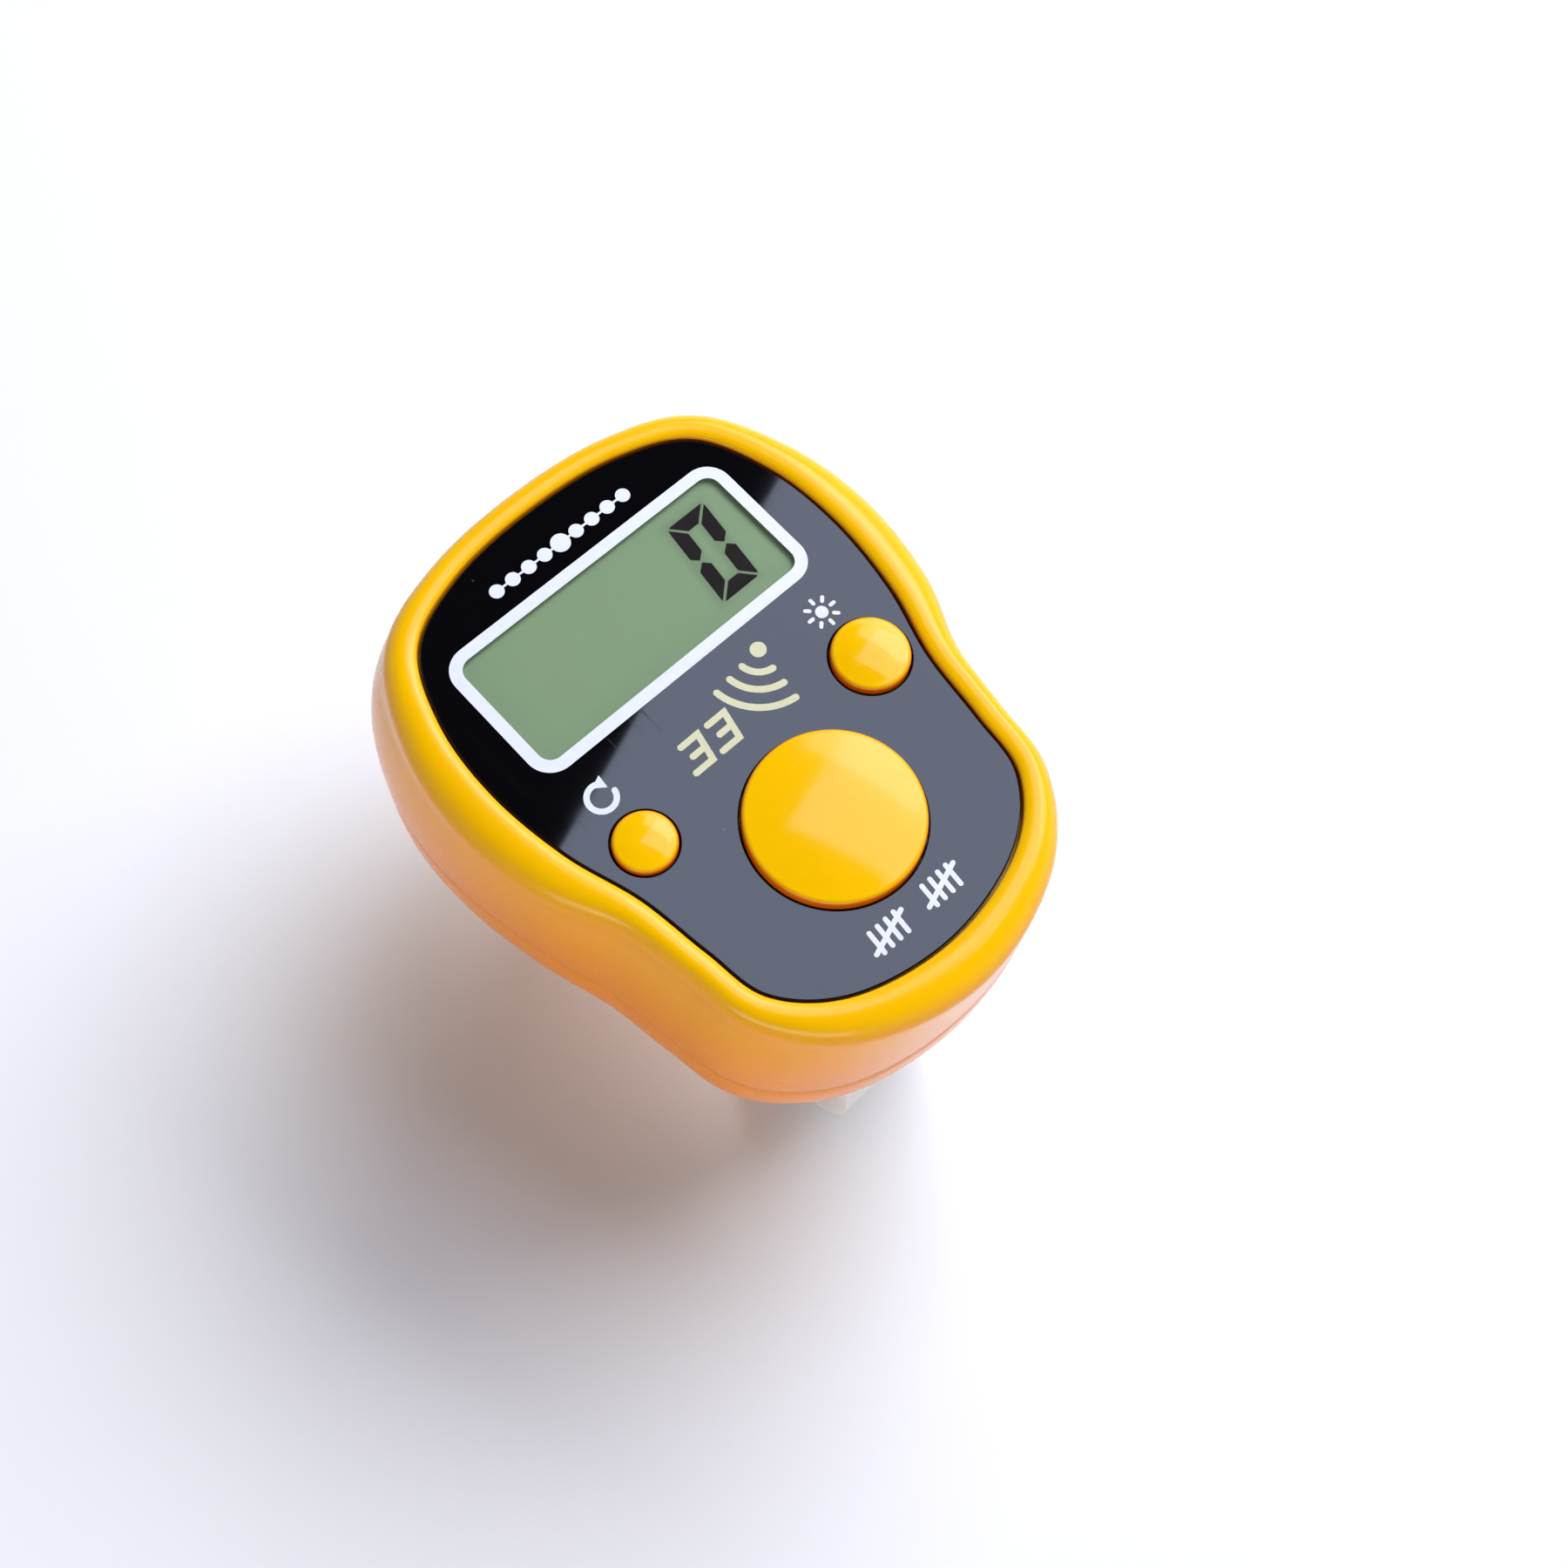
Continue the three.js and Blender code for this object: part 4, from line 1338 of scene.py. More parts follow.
        recesses = [
            Shape.turned([
                (0, self.back - 1), (self.bore + 1.0, self.back - 1),
                (self.bore + 0.92, self.back - 0.01), (self.head + 0.3, self.back + 0.12),
                (self.head + 0.3, self.head_seat), (self.bore, self.head_seat),
                (self.bore, self.board_bottom + 1), (0, self.board_bottom + 1),
            ], place, 48)
            for place in self.screw_places
        ]
        peg = Shape.turned([
            (0, self.floor - 0.5), (self.peg_radius, self.floor - 0.5),
            (self.peg_radius, self.peg_end + 0.25), (self.peg_radius - 0.08, self.peg_end + 0.08),
            (self.peg_radius - 0.25, self.peg_end), (0, self.peg_end),
        ], (0, self.peg_y), 48)
        cell_bay = rooms[0].with_cuts(Cut.JOIN, [rooms[1], slot])
        skin.with_cuts(Cut.JOIN, cradles).with_cuts(Cut.REMOVE, [cell_bay])
        skin.with_cuts(Cut.JOIN, [*posts, peg]).with_cuts(Cut.JOIN, [self.lug(-1), self.lug(1)])
        skin.with_cuts(Cut.REMOVE, recesses)
        skin.settled("back_cover_body", AMBER_CASE, "case", "amber_case", ["back_cover"])

    def lug(self, side: int) -> Shape:
        """One hinge lug with its bore.

        Args:
            side: 1 or -1, for the side of the case.

        Returns:
            The lug.
        """
        ends = sorted((side * self.lug_x[0], side * self.lug_x[1]))
        eye = Shape.bar(self.barrel, ends, (self.pin_y, self.pin_level), 0.15)
        root = Shape.slab(
            ends, (self.pin_y - self.barrel, self.pin_y + self.barrel),
            (self.pin_level, self.back + 0.5),
        ).softened(0.15, 2)
        bore = Shape.bar(
            self.pin_bore, (ends[0] - 1, ends[1] + 1), (self.pin_y, self.pin_level), 0.0,
        )
        return eye.with_cuts(Cut.JOIN, [root]).with_cuts(Cut.REMOVE, [bore])

    def screw(self, index: int, place: tuple[float, float]) -> None:
        """One case screw with a cross recess in its head.

        Args:
            index: Its number, from 1.
            place: X and Y of its axis.
        """
        seat = self.head_seat
        under = seat - 0.8
        profile = [
            (0, under), (0.9, under), (1.35, under + 0.09), (self.head, under + 0.3),
            (self.head, seat), (self.thread, seat),
        ]
        start, end = self.thread_ends
        level = seat + start
        while level < seat + end:
            profile += [
                (self.thread, level), (self.thread_root, level + 0.14),
                (self.thread, level + 0.28),
            ]
            level += self.thread_pitch
        tip = seat + end + 1.0
        profile += [(self.thread, tip - 0.75), (self.thread / 2, tip), (0, tip)]
        turn = Matrix.Rotation(math.radians(17 + 41 * index), 4, "Z")
        stand = Matrix.Translation((place[0], place[1], 0))
        slots = [
            Shape.slab(
                (-half, half), (-rise, rise), (under - 0.5, under + self.cross_depth),
            ).moved(stand @ turn)
            for half, rise in (self.cross, self.cross[::-1])
        ]
        screw = Shape.turned(profile, place, 48).with_cuts(Cut.REMOVE, slots)
        screw.settled(
            f"case_screw_{index}_body", SCREW_STEEL, "case", "bright_steel",
            [f"case_screw_{index}"],
        )


@dataclass
class Face:
    """The black plate, the clear window in it, and the push buttons that come through it."""

    outline: CaseOutline
    inset: float = 0.15
    thickness: float = 1.0
    chamfer: float = 0.08
    hole_gap: float = 0.1
    hole_chamfer: float = 0.06
    button_gap: float = 0.25
    window: tuple[float, float] = (20.4, 8.9)
    window_corner: float = 1.3
    window_y: float = 8.725
    window_gap: float = 0.1
    pane_thickness: float = 0.3
    film_top: float = -0.33
    button_round: float = 0.35
    flange_edge: float = 0.1
    flange_levels: tuple[float, float] = (-3.1, -2.3)

    def build(self) -> None:
        """Makes the plate, the window and the three buttons."""
        self.plate()
        self.pane()
        for button in BUTTONS:
            self.push_button(button)

    def opening(self, gap: float, levels: Sequence[float]) -> Shape:
        """A rounded block the size of the window.

        Args:
            gap: How much smaller it is on each side.
            levels: Its two levels.

        Returns:
            The block.
        """
        half, rise = self.window[0] / 2 - gap, self.window[1] / 2 - gap
        up = (self.window_y - rise, self.window_y + rise)
        return Shape.slab((-half, half), up, levels, self.window_corner - gap)

    def plate(self) -> None:
        """The plate, with a fine chamfer round its edge and its button holes."""
        skin = RingSkin(self.outline, lambda s: -self.inset, -self.thickness)
        skin.rise(lambda s: -self.inset, -self.chamfer)
        skin.rise(lambda s: -self.inset - self.chamfer * 0.3, -self.chamfer * 0.3)
        skin.rise(lambda s: -self.inset - self.chamfer, 0.0)
        skin.rise(lambda s: -self.inset - 2 * self.chamfer, 0.0).fill()
        holes = []
        for button in BUTTONS:
            reach, chamfer = button.radius + self.hole_gap, self.hole_chamfer
            holes.append(Shape.turned([
                (0, -2), (reach, -2), (reach, -chamfer), (reach + chamfer * 1.5, chamfer / 2),
                (reach + chamfer * 1.5, 1), (0, 1),
            ], button.axis))
        skin.with_cuts(Cut.REMOVE, [*holes, self.opening(0.0, (-2, 1))])
        skin.settled("face_plate_body", BLACK_PLATE, "case", "black_plate", ["face_plate"], 12.0)

    def pane(self) -> None:
        """The clear window, with its edges just broken, and the display's film close under it."""
        pane = self.opening(self.window_gap, (-self.pane_thickness, 0)).softened(0.05, 2)
        pane.settled(
            "display_window_pane", CLEAR_PANE, "case", "clear_pane", ["display_window"], 12.0,
        )
        film = self.opening(self.window_gap, (-self.thickness, self.film_top))
        film.settled("display_film", GREEN_FILM, "case", "display_film", ["display_window"], 12.0)

    def push_button(self, button: ButtonSize) -> None:
        """One push button: a flange under the deck, a straight side and a crowned top.

        Args:
            button: Its place and size.
        """
        low, high = self.flange_levels
        skirt = button.radius + self.button_gap + button.flange
        flat = button.radius - self.button_round
        edge = [
            (
                button.radius - self.button_round * (1 - math.cos(turn)),
                button.rise - self.button_round * (1 - math.sin(turn)),
            )
            for turn in quarter(8)
        ]
        crown = [
            (flat * step / 10, button.rise + button.dome * (1 - (step / 10) ** 2))
            for step in range(9, -1, -1)
        ]
        broken = self.flange_edge
        profile = [
            (0, low), (skirt - broken, low), (skirt, low + broken), (skirt, high - broken),
            (skirt - broken, high), (button.radius, high), *edge, *crown,
        ]
        made = Shape.turned(profile, button.axis, 128)
        made.settled(
            f"{button.name}_button_body", AMBER_BUTTON, f"{button.name}_key", "amber_button",
            [f"{button.name}_button"], 40.0,
        )


@dataclass
class Prints:
    """What is printed on the plate: the display's border and plain marks by the buttons."""

    level: float = 0.0
    border: tuple[float, float] = (21.16, 9.66)
    border_y: float = 8.725
    border_corner: float = 1.65
    border_width: float = 0.78
    line: float = 0.36
    sound_place: tuple[float, float] = (3.99, 2.15)
    sound_radii: tuple[float, ...] = (1.45, 2.55, 3.7)
    sound_width: float = 0.43
    sound_turn: float = 225.0
    sound_spread: float = 38.0
    figure_size: tuple[float, float] = (1.28, 1.75)
    figure_slant: float = 0.22
    figure_foot: float = -1.2
    figure_lefts: tuple[float, float] = (-3.9, -1.85)
    tally_levels: tuple[float, float] = (-15.95, -14.6)
    tally_lefts: tuple[float, float] = (-3.35, 0.75)
    tally_pitch: float = 0.62
    tally_width: float = 0.3
    arrow_place: tuple[float, float] = (-8.85, 1.25)
    arrow_radius: float = 0.85
    arrow_sweep: tuple[float, float] = (64, 350)
    sun_place: tuple[float, float] = (8.45, 1.45)
    sun_rays: tuple[float, float] = (0.72, 0.98)
    bead_pitch: float = 1.22
    bead_y: float = 15.05

    def build(self) -> None:
        """Makes each print as a piece of its own."""
        self.display_border()
        self.sound_mark()
        self.numbers()
        self.reset_mark()
        self.light_mark()
        self.tally_mark()
        self.bead_row()

    def settle(self, name: str, marks: Sequence[Shape], ink: Finish) -> None:
        """Gives flat marks the ink's thickness, joins them and puts them on the plate.

        Args:
            name: The piece's name.
            marks: The flat marks.
            ink: What they are printed with.
        """
        first, *others = [mark.cleaned().raised(INK_THICKNESS) for mark in marks]
        if others:
            first.with_cuts(Cut.JOIN, others)
        first.settled(name, ink, "case", "white_moulding", (), 60.0)

    def display_border(self) -> None:
        """The white border round the display, over the joint of the window."""
        half, rise = self.border[0] / 2, self.border[1] / 2
        up = (self.border_y - rise, self.border_y + rise)
        shape = Shape.slab((-half, half), up, (self.level, self.level + 0.5), self.border_corner)
        spare = [face for face in shape.bm.faces if face.normal.z > -0.5]
        bmesh.ops.delete(shape.bm, geom=spare, context="FACES")
        middle = shape.bm.faces[:]
        bmesh.ops.inset_individual(
            shape.bm, faces=middle, thickness=self.border_width, use_even_offset=True,
        )
        bmesh.ops.delete(shape.bm, geom=middle, context="FACES")
        self.settle("display_border", [shape], WHITE_INK)

    def stroke(self, path: Sequence[Sequence[float]], width: float) -> Shape:
        """One line of ink with round ends.

        Args:
            path: X and Y of the points on its middle line.
            width: Its width.

        Returns:
            The flat mark.
        """
        half = width / 2
        points = [Vector(point) for point in path]
        legs = [(b - a).normalized() for a, b in zip(points, points[1:])]
        lean = [math.radians(angle) for angle in (88, 70, 50, 30, 12)]
        stations = [
            (points[0] - legs[0] * half * math.sin(turn), legs[0], half * math.cos(turn))
            for turn in lean
        ]
        stations.append((points[0], legs[0], half))
        for point, before, after in zip(points[1:-1], legs, legs[1:]):
            along = (before + after).normalized()
            stations.append((point, along, half / max(0.5, along.dot(after))))
        stations.append((points[-1], legs[-1], half))
        stations += [
            (points[-1] + legs[-1] * half * math.sin(turn), legs[-1], half * math.cos(turn))
            for turn in reversed(lean)
        ]
        rungs = []
        for centre, along, reach in stations:
            aside = Vector((-along.y, along.x)) * reach
            rungs.append(((*(centre + aside), self.level), (*(centre - aside), self.level)))
        return Shape.strip(rungs)

    def dot(
        self, centre: Sequence[float], radius: float, corners: int = 40, turn: float = 0.0,
    ) -> Shape:
        """A round dot of ink, or one with a few corners.

        Args:
            centre: X and Y of its centre.
            radius: Its radius.
            corners: How many corners it has.
            turn: How far it is turned, in degrees.

        Returns:
            The flat mark.
        """
        shape = Shape()
        bmesh.ops.create_circle(shape.bm, cap_ends=True, segments=corners, radius=radius)
        stand = Matrix.Translation((*centre, self.level))
        return shape.moved(stand @ Matrix.Rotation(math.radians(turn), 4, "Z"))

    @staticmethod
    def bow(
        centre: Sequence[float], radius: float, start: float, end: float, steps: int = 24,
    ) -> list[Vector]:
        """Points on an arc.

        Args:
            centre: X and Y of its centre.
            radius: Its radius.
            start: The angle where it starts, in degrees.
            end: The angle where it ends.
            steps: Steps between them.

        Returns:
            The points.
        """
        turns = [math.radians(start + (end - start) * step / steps) for step in range(steps + 1)]
        middle = Vector(centre)
        return [middle + radius * Vector((math.cos(turn), math.sin(turn))) for turn in turns]

    def sound_mark(self) -> None:
        """A dot with three arcs spreading from it, for the sounder."""
        marks = [self.dot(self.sound_place, 0.5)]
        for radius in self.sound_radii:
            start, end = self.sound_turn - self.sound_spread, self.sound_turn + self.sound_spread
            arc = self.bow(self.sound_place, radius, start, end)
            marks.append(self.stroke(arc, self.sound_width))
        self.settle("sound_mark", marks, CREAM_INK)

    def numbers(self) -> None:
        """Two plain slanted threes, which number the beads of a third of a string."""
        marks = []
        wide, high = self.figure_size
        for left in self.figure_lefts:
            outer = [(0, high), (wide, high), (wide, 0), (0, 0)]
            inner = [(0.35, high / 2), (wide, high / 2)]
            for path in (outer, inner):
                placed = [
                    (left + x + self.figure_slant * y, self.figure_foot + y) for x, y in path
                ]
                marks.append(self.stroke(placed, 0.4))
        self.settle("plate_numbers", marks, CREAM_INK)

    def reset_mark(self) -> None:
        """A turning arrow by the reset button."""
        centre, radius = Vector(self.arrow_place), self.arrow_radius
        turn = math.radians(58)
        tip = centre + radius * Vector((math.cos(turn), math.sin(turn)))
        marks = [
            self.stroke(self.bow(centre, radius, *self.arrow_sweep), self.line),
            self.dot(tip, 0.52, 3, -36.0),
        ]
        self.settle("reset_mark", marks, WHITE_INK)

    def light_mark(self) -> None:
        """A small sun by the light button."""
        centre = Vector(self.sun_place)
        near, far = self.sun_rays
        marks = [self.dot(centre, 0.4)]
        for step in range(8):
            turn = math.tau * step / 8
            ray = Vector((math.cos(turn), math.sin(turn)))
            marks.append(self.stroke([centre + ray * near, centre + ray * far], 0.24))
        self.settle("light_mark", marks, WHITE_INK)

    def tally_mark(self) -> None:
        """Two bundles of five tally strokes under the count button."""
        marks, width = [], self.tally_width
        low, high = self.tally_levels
        for left in self.tally_lefts:
            for step in range(4):
                x = left + self.tally_pitch * step
                marks.append(self.stroke([(x, low), (x + 0.12, high)], width))
            marks.append(self.stroke([(left - 0.42, low + 0.2), (left + 2.4, high - 0.18)], width))
        self.settle("tally_mark", marks, WHITE_INK)

    def bead_row(self) -> None:
        """A plain row of beads over the display, on a thin line."""
        pitch, row = self.bead_pitch, self.bead_y
        marks = [self.dot((step * pitch, row), 0.46 if step else 0.62) for step in range(-4, 5)]
        marks += [
            self.stroke([(step * pitch + 0.4, row), ((step + 1) * pitch - 0.4, row)], 0.14)
            for step in range(-4, 4)
        ]
        self.settle("bead_row", marks, WHITE_INK)


@dataclass
class Display:
    """The display under the window: the green film and the numeral's dark segments."""

    numeral: NumeralShape
    film_top: float
    lift: float = 0.003
    thickness: float = 0.02

    def build(self) -> None:
        """Makes the numeral's segments and dresses the display's layers."""
        for index, corners in enumerate(self.numeral.segments(), start=1):
            shape = Shape()
            verts = [
                shape.bm.verts.new((
                    self.numeral.left + x + self.numeral.slant * y, self.numeral.foot + y,
                    self.film_top + self.lift,
                ))
                for x, y in corners
            ]
            face = shape.bm.faces.new(verts)
            face.normal_update()
            rim = bmesh.ops.inset_individual(
                shape.bm, faces=[face], thickness=self.numeral.gap, use_even_offset=True,
            )["faces"]
            bmesh.ops.delete(shape.bm, geom=rim, context="FACES")
            shape.raised(self.thickness)
            shape.settled(f"numeral_segment_{index}", SEGMENT_INK, "case", "black_moulding")
        dress(REAR_FILM, "display_film", "lcd_front_polariser", "lcd_rear_polariser")
        dress(CELL_GLASS, "display_glass", "lcd_front_glass", "lcd_rear_glass")
        dress(WHITE_MOULDING, "white_moulding", "backlight_diffuser", "lcd_holder")
        dress(ZEBRA_RUBBER, "conductive_rubber", "zebra_strip")


def dress(finish: Finish, slot: str, *nodes: str) -> None:
    """Gives CAD nodes that stay shown their finish.

    Args:
        finish: What they wear.
        slot: The record's material slot; not used.
        *nodes: Their names.
    """
    for name in nodes:
        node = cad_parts[name]
        node.data.materials.clear()
        node.data.materials.append(finish.material())
        log.info("%s: wears %s", name, finish.name)


@dataclass
class Works:
    """What the case holds: board, switches, cells, contacts and sounder."""

    dome_sheet: float = 0.12
    nose_gap: float = 0.08
    dome_steps: int = 14

    def build(self) -> None:
        """Makes the snap domes and dresses the nodes of the works."""
        dress(GREEN_BOARD, "board_laminate", "circuit_board")
        dress(
            DARK_RESIN, "dark_resin", "chip_blob", "resistor_1", "resistor_2", "sounder_transistor",
        )
        dress(FIRED_CERAMIC, "ceramic", "capacitor_1", "capacitor_2", "sounder_ceramic")
        dress(WHITE_MOULDING, "white_moulding", "backlight_led_left", "backlight_led_right")
        for button in BUTTONS:
            dress(BLACK_MOULDING, "black_moulding", f"{button.name}_switch_base")
            dress(CELL_STEEL, "bright_steel", f"{button.name}_switch_cover")
            dress(WHITE_MOULDING, "white_moulding", f"{button.name}_plunger")
            self.snap_dome(button)
        dress(CELL_STEEL, "bright_steel", "cell_left", "cell_right")
        dress(
            SPRING_BRASS, "spring_brass", "cell_bridge_contact", "negative_contact",
            "positive_contact", "sounder_disc",
        )
        dress(RED_LEAD, "red_lead", "sounder_wire_ceramic")
        dress(BLACK_LEAD, "black_lead", "sounder_wire_rim")

    def snap_dome(self, button: ButtonSize) -> None:
        """A switch's snap dome, drawn at rest; on the switch it flattens under its plunger as the
        button goes down.

        Args:
            button: The button over the switch.
        """
        node = f"{button.name}_switch_dome"
        low, high = ((case_place().inverted() @ corner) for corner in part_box(node))
        radius, height, sheet = (high.x - low.x) / 2, high.z - low.z, self.dome_sheet

        def bulge(inset: float) -> list[tuple[float, float]]:
            """Points of the bulge, from its foot to its top, drawn in by an inset."""
            return [
                ((radius - inset) * math.cos(turn), low.z + (height - inset) * math.sin(turn))
                for turn in quarter(self.dome_steps)
            ]

        profile = [*reversed(bulge(sheet)), *bulge(0.0)]
        profile[0], profile[-1] = (0, profile[0][1]), (0, profile[-1][1])
        dome = Shape.turned(profile, button.axis, 64)
        made = dome.settled(f"{node}_disc", CELL_STEEL, "case", "bright_steel", [node], 60.0)
        foot = case_place() @ Vector((*button.axis, low.z))
        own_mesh(made)


@dataclass
class FingerBand:
    """The band round the finger: a ribbon from its hinge barrel to the tab on the peg."""

    case: Case
    width: float = 12.0
    thickness: float = 1.3
    reach: float = 17.9
    far_reach: float = 12.8
    flat_half: float = 5.5
    finger_room: float = 18.8
    under_gap: float = 0.2
    tab_bend: float = 1.8
    tab_end: float = 18.6
    tab_corner: float = 4.0
    pin_radius: float = 0.6
    peg_gap: float = 0.3
    softening: float = 0.3
    skin: float = 0.004
    steps: int = 28

    def build(self) -> None:
        """Makes the band and its hinge pin."""
        self.band()
        reach = self.case.lug_x[1] - 0.01
        pin = Shape.bar(
            self.pin_radius, (-reach, reach), (self.case.pin_y, self.case.pin_level), 0.14,
        )
        pin.settled("band_pin_body", SCREW_STEEL, "case", "bright_steel", ["band_pin"])

    def route(self) -> list[tuple[Vector, Vector]]:
        """The ribbon's middle line.

        Returns:
            Places and directions along it, in Y and level.
        """
        case = self.case
        half = self.thickness / 2
        under = case.back - self.under_gap - half
        bottom = case.back - self.finger_room - half
        middle = (case.pin_level + bottom) / 2
        drop = middle - bottom
        near, far = self.reach - self.flat_half, self.far_reach - self.flat_half
        left = 1 - QUARTER_BEND
        curves = (
            (
                (case.pin_y - case.barrel / 2, case.pin_level - case.barrel / 2),
                (case.pin_y - case.barrel, case.pin_level - 2 * case.barrel),
                (-self.reach, middle + drop / 2), (-self.reach, middle),
            ),
            (
                (-self.reach, middle), (-self.reach, bottom + drop * left),
                (-self.reach + near * left, bottom), (-self.flat_half, bottom),
            ),
            self.line((-self.flat_half, bottom), (self.flat_half, bottom)),
            (
                (self.flat_half, bottom), (self.far_reach - far * left, bottom),
                (self.far_reach, bottom + drop * left), (self.far_reach, middle),
            ),
            self.line((self.far_reach, middle), (self.far_reach, under - self.tab_bend)),
            (
                (self.far_reach, under - self.tab_bend),
                (self.far_reach, under - self.tab_bend / 3),
                (self.far_reach + self.tab_bend / 3, under),
                (self.far_reach + self.tab_bend, under),
            ),
            self.line((self.far_reach + self.tab_bend, under), (self.tab_end, under)),
        )
        spots = []
        for curve in curves:
            first, second, third, fourth = (Vector(point) for point in curve)
            for step in range(0 if not spots else 1, self.steps + 1):
                t = step / self.steps
                place = (
                    first * (1 - t) ** 3 + second * 3 * t * (1 - t) ** 2
                    + third * 3 * t ** 2 * (1 - t) + fourth * t ** 3
                )
                along = (
                    (second - first) * (1 - t) ** 2 + (third - second) * 2 * t * (1 - t)
                    + (fourth - third) * t ** 2
                )
                spots.append((place, along.normalized()))
        return spots

    @staticmethod
    def line(start: tuple[float, float], end: tuple[float, float]) -> tuple[Any, ...]:
        """A straight piece of the route, in the form of a curve with four points.

        Args:
            start: Where it starts.
            end: Where it ends.

        Returns:
            The four points.
        """
        first, last = Vector(start), Vector(end)
        return first, first.lerp(last, 1 / 3), first.lerp(last, 2 / 3), last

    def band(self) -> None:
        """The band: an extruded ribbon, joined to its barrel, trimmed, bored and softened."""
        case = self.case
        half, wide = self.thickness / 2 - self.skin, self.width / 2 - self.skin
        rungs = []
        for place, along in self.route():
            aside = Vector((-along.y, along.x)) * half
            rungs.append(((-wide, *(place + aside)), (-wide, *(place - aside))))
        ribbon = Shape.strip(rungs)
        grown = bmesh.ops.extrude_face_region(ribbon.bm, geom=ribbon.bm.faces[:])["geom"]
        verts = [item for item in grown if isinstance(item, bmesh.types.BMVert)]
        bmesh.ops.translate(ribbon.bm, vec=(2 * wide, 0, 0), verts=verts)
        axis = (case.pin_y, case.pin_level)
        barrel = Shape.bar(case.barrel - self.skin, (self.skin - wide, wide - self.skin), axis, 0.0)
        bore = Shape.bar(case.pin_bore, (-wide - 1, wide + 1), axis, 0.0)
        bottom = case.back - self.finger_room - self.thickness
        trim = Shape.slab(
            (-wide - 0.002, wide + 0.002), (-2 * self.reach, self.tab_end - self.skin),
            (bottom - 1, 0), self.tab_corner,
        )
        hole = Shape.drum(
            case.peg_radius + self.peg_gap, (case.peg_end - 1, case.back + 1), (0, case.peg_y), 48,
        )
        ribbon.with_cuts(Cut.JOIN, [barrel]).with_cuts(Cut.REMOVE, [bore, hole])
        ribbon.with_cuts(Cut.KEEP, [trim]).softened(self.softening, 3)
        ribbon.settled("finger_band_strap", MILKY_BAND, "band", "clear_band", ["finger_band"], 40.0)


# The studio


@dataclass(frozen=True)
class Lamp:
    """A soft box: its centre, the point that it faces, its two sizes, its strength and tint."""

    name: str
    centre: tuple[float, float, float]
    faces: tuple[float, float, float]
    size: tuple[float, float]
    radiance: float
    turn: float
    tint: tuple[float, float, float]

    def hang(self) -> None:
        """Hangs the lamp. Its power follows from its radiance and its size."""
        data = bpy.data.lights.new(self.name, "AREA")
        data.shape = "RECTANGLE"
        data.size, data.size_y = self.size
        data.energy = self.radiance * math.pi * self.size[0] * self.size[1]
        data.color = self.tint
        lamp = bpy.data.objects.new(self.name, data)
        aim = (Vector(self.faces) - Vector(self.centre)).to_track_quat("-Z", "Y")
        turn = Matrix.Rotation(math.radians(self.turn), 4, "Z")
        lamp.matrix_world = Matrix.Translation(self.centre) @ aim.to_matrix().to_4x4() @ turn
        bpy.context.scene.collection.objects.link(lamp)


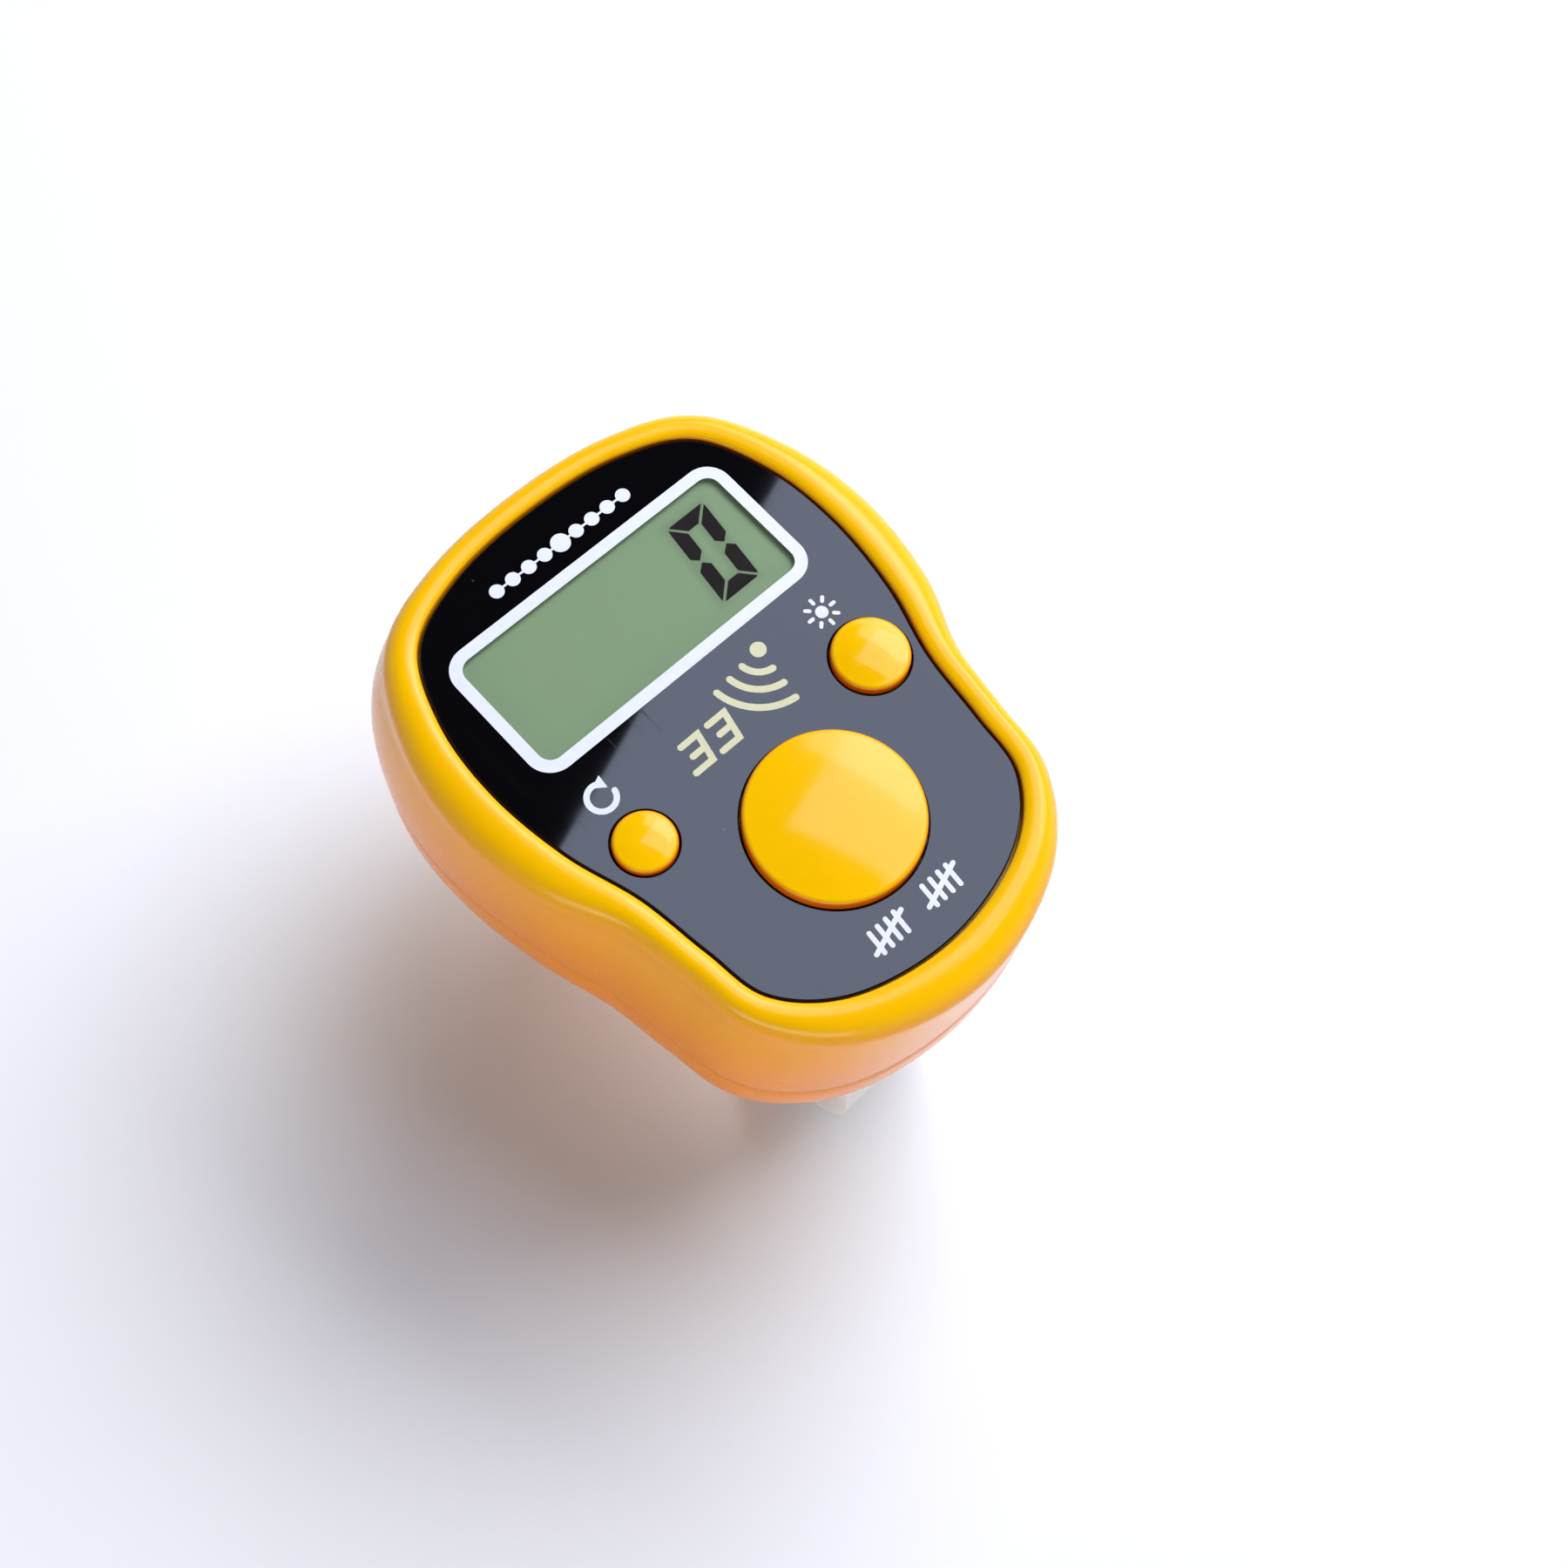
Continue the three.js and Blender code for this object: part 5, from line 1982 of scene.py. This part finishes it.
@dataclass
class Studio:
    """A pale floor, soft boxes, the room's own light and the camera."""

    floor_size: float = 6.0
    floor_tint: tuple[int, int, int] = (244, 244, 246)
    lift_reach: tuple[float, float] = (0.12, 0.7)
    lift_levels: tuple[float, float] = (0.05, 0.9)
    room_light: tuple[tuple[float, float], ...] = (
        (0.0, 0.22), (0.4, 0.2), (0.65, 0.15), (0.78, 0.015), (1.0, 0.01),
    )
    room_sight: tuple[tuple[float, float], ...] = (
        (0.0, 1.0), (0.22, 0.95), (0.45, 0.3), (0.65, 0.1), (0.78, 0.015), (1.0, 0.01),
    )
    lens: float = 43.86
    camera_place: tuple[float, float, float] = (-0.03226, -0.03049, 0.13361)
    camera_right: tuple[float, float, float] = (0.7277, -0.6835, 0.0573)
    camera_back: tuple[float, float, float] = (-0.2922, -0.2334, 0.9274)
    lamps: tuple[Lamp, ...] = (
        Lamp(
            "overhead_box", (0.2211, 0.0283, 0.333), (0.2211, 0.0283, 0.0), (0.3195, 0.24),
            4.9, 20.0, (0.66, 0.75, 1.0),
        ),
        Lamp(
            "key_box", (0.60, 0.10, 0.62), (0.0, 0.0, 0.02), (0.90, 0.42), 5.6, 0.0,
            (1.0, 0.98, 0.94),
        ),
        Lamp(
            "low_box", (-0.42, -0.30, 0.12), (0.0, 0.0, 0.02), (0.60, 0.16), 4.6, 0.0,
            (1.0, 0.96, 0.90),
        ),
    )

    def build(self) -> None:
        """Sets up the floor, the light and the camera."""
        self.floor()
        self.room()
        for lamp in self.lamps:
            lamp.hang()
        self.camera()
        bpy.context.scene.view_settings.view_transform = "Standard"

    def floor(self) -> None:
        """The floor, pale to the camera and in reflections, with the object's shadow on it."""
        shape = Shape()
        bmesh.ops.create_grid(shape.bm, x_segments=1, y_segments=1, size=self.floor_size / 2)
        shape.moved(Matrix.Translation((0, 0, -0.00005)))
        floor = shape.loose_object("floor")
        graph = MaterialGraph("pale_floor")
        grain = graph.noise(0.02, 2.0)
        far = graph.node(
            "ShaderNodeVectorMath", {"operation": "LENGTH"}, {0: graph.place}, "Value",
        ).ramp(*self.lift_reach)
        graph.surface(
            Base_Color=colour(*self.floor_tint),
            Roughness=0.7 + grain * 0.1,
            Specular_IOR_Level=0.1,
        )
        near_lift, far_lift = ((level, level, level, 1) for level in self.lift_levels)
        lift = graph.node(
            "ShaderNodeEmission", None, {"Color": graph.blend(far, near_lift, far_lift)},
        )
        body = Flow(graph, graph.shader.outputs[0])
        glow = graph.node("ShaderNodeAddShader", None, {0: body, 1: lift})
        chosen = graph.node("ShaderNodeMixShader", None, {0: graph.seen(), 1: body, 2: glow})
        output = graph.tree.nodes["Material Output"]
        graph.feed(output.inputs["Surface"], chosen)
        floor.data.materials.append(graph.material)

    def room(self) -> None:
        """The room: dim as a light, pale at eye level where it is seen, and dark overhead."""
        world = bpy.data.worlds.new("room")
        bpy.context.scene.world = world
        world.use_nodes = True
        graph = Graph(world.node_tree)
        place = graph.node("ShaderNodeTexCoord", output="Generated")
        height = graph.node("ShaderNodeSeparateXYZ", None, {0: place}, "Z")
        light, sight = graph.greys(height, self.room_light), graph.greys(height, self.room_sight)
        shown = graph.blend(graph.seen(), light, sight)
        graph.feed(graph.tree.nodes["Background"].inputs["Color"], shown)

    def camera(self) -> None:
        """The camera, at the photograph's angle."""
        right = Vector(self.camera_right).normalized()
        back = Vector(self.camera_back).normalized()
        up = back.cross(right).normalized()
        right = up.cross(back)
        data = bpy.data.cameras.new("camera")
        data.sensor_width = 36.0
        data.lens = self.lens
        data.clip_start, data.clip_end = 0.002, 20.0
        camera = bpy.data.objects.new("camera", data)
        turn = Matrix((right, up, back)).transposed().to_4x4()
        camera.matrix_world = Matrix.Translation(self.camera_place) @ turn
        bpy.context.scene.collection.objects.link(camera)
        bpy.context.scene.camera = camera


def main() -> None:
    """Builds the counter's looks, then the studio."""
    logging.basicConfig(level=logging.INFO, format="%(name)s %(message)s")
    outline = CaseOutline()
    case = Case(outline)
    case.build()
    face = Face(outline)
    face.build()
    Prints().build()
    Display(NUMERAL, face.film_top).build()
    Works().build()
    FingerBand(case).build()
    Studio().build()


if __name__ == "__main__":
    main()
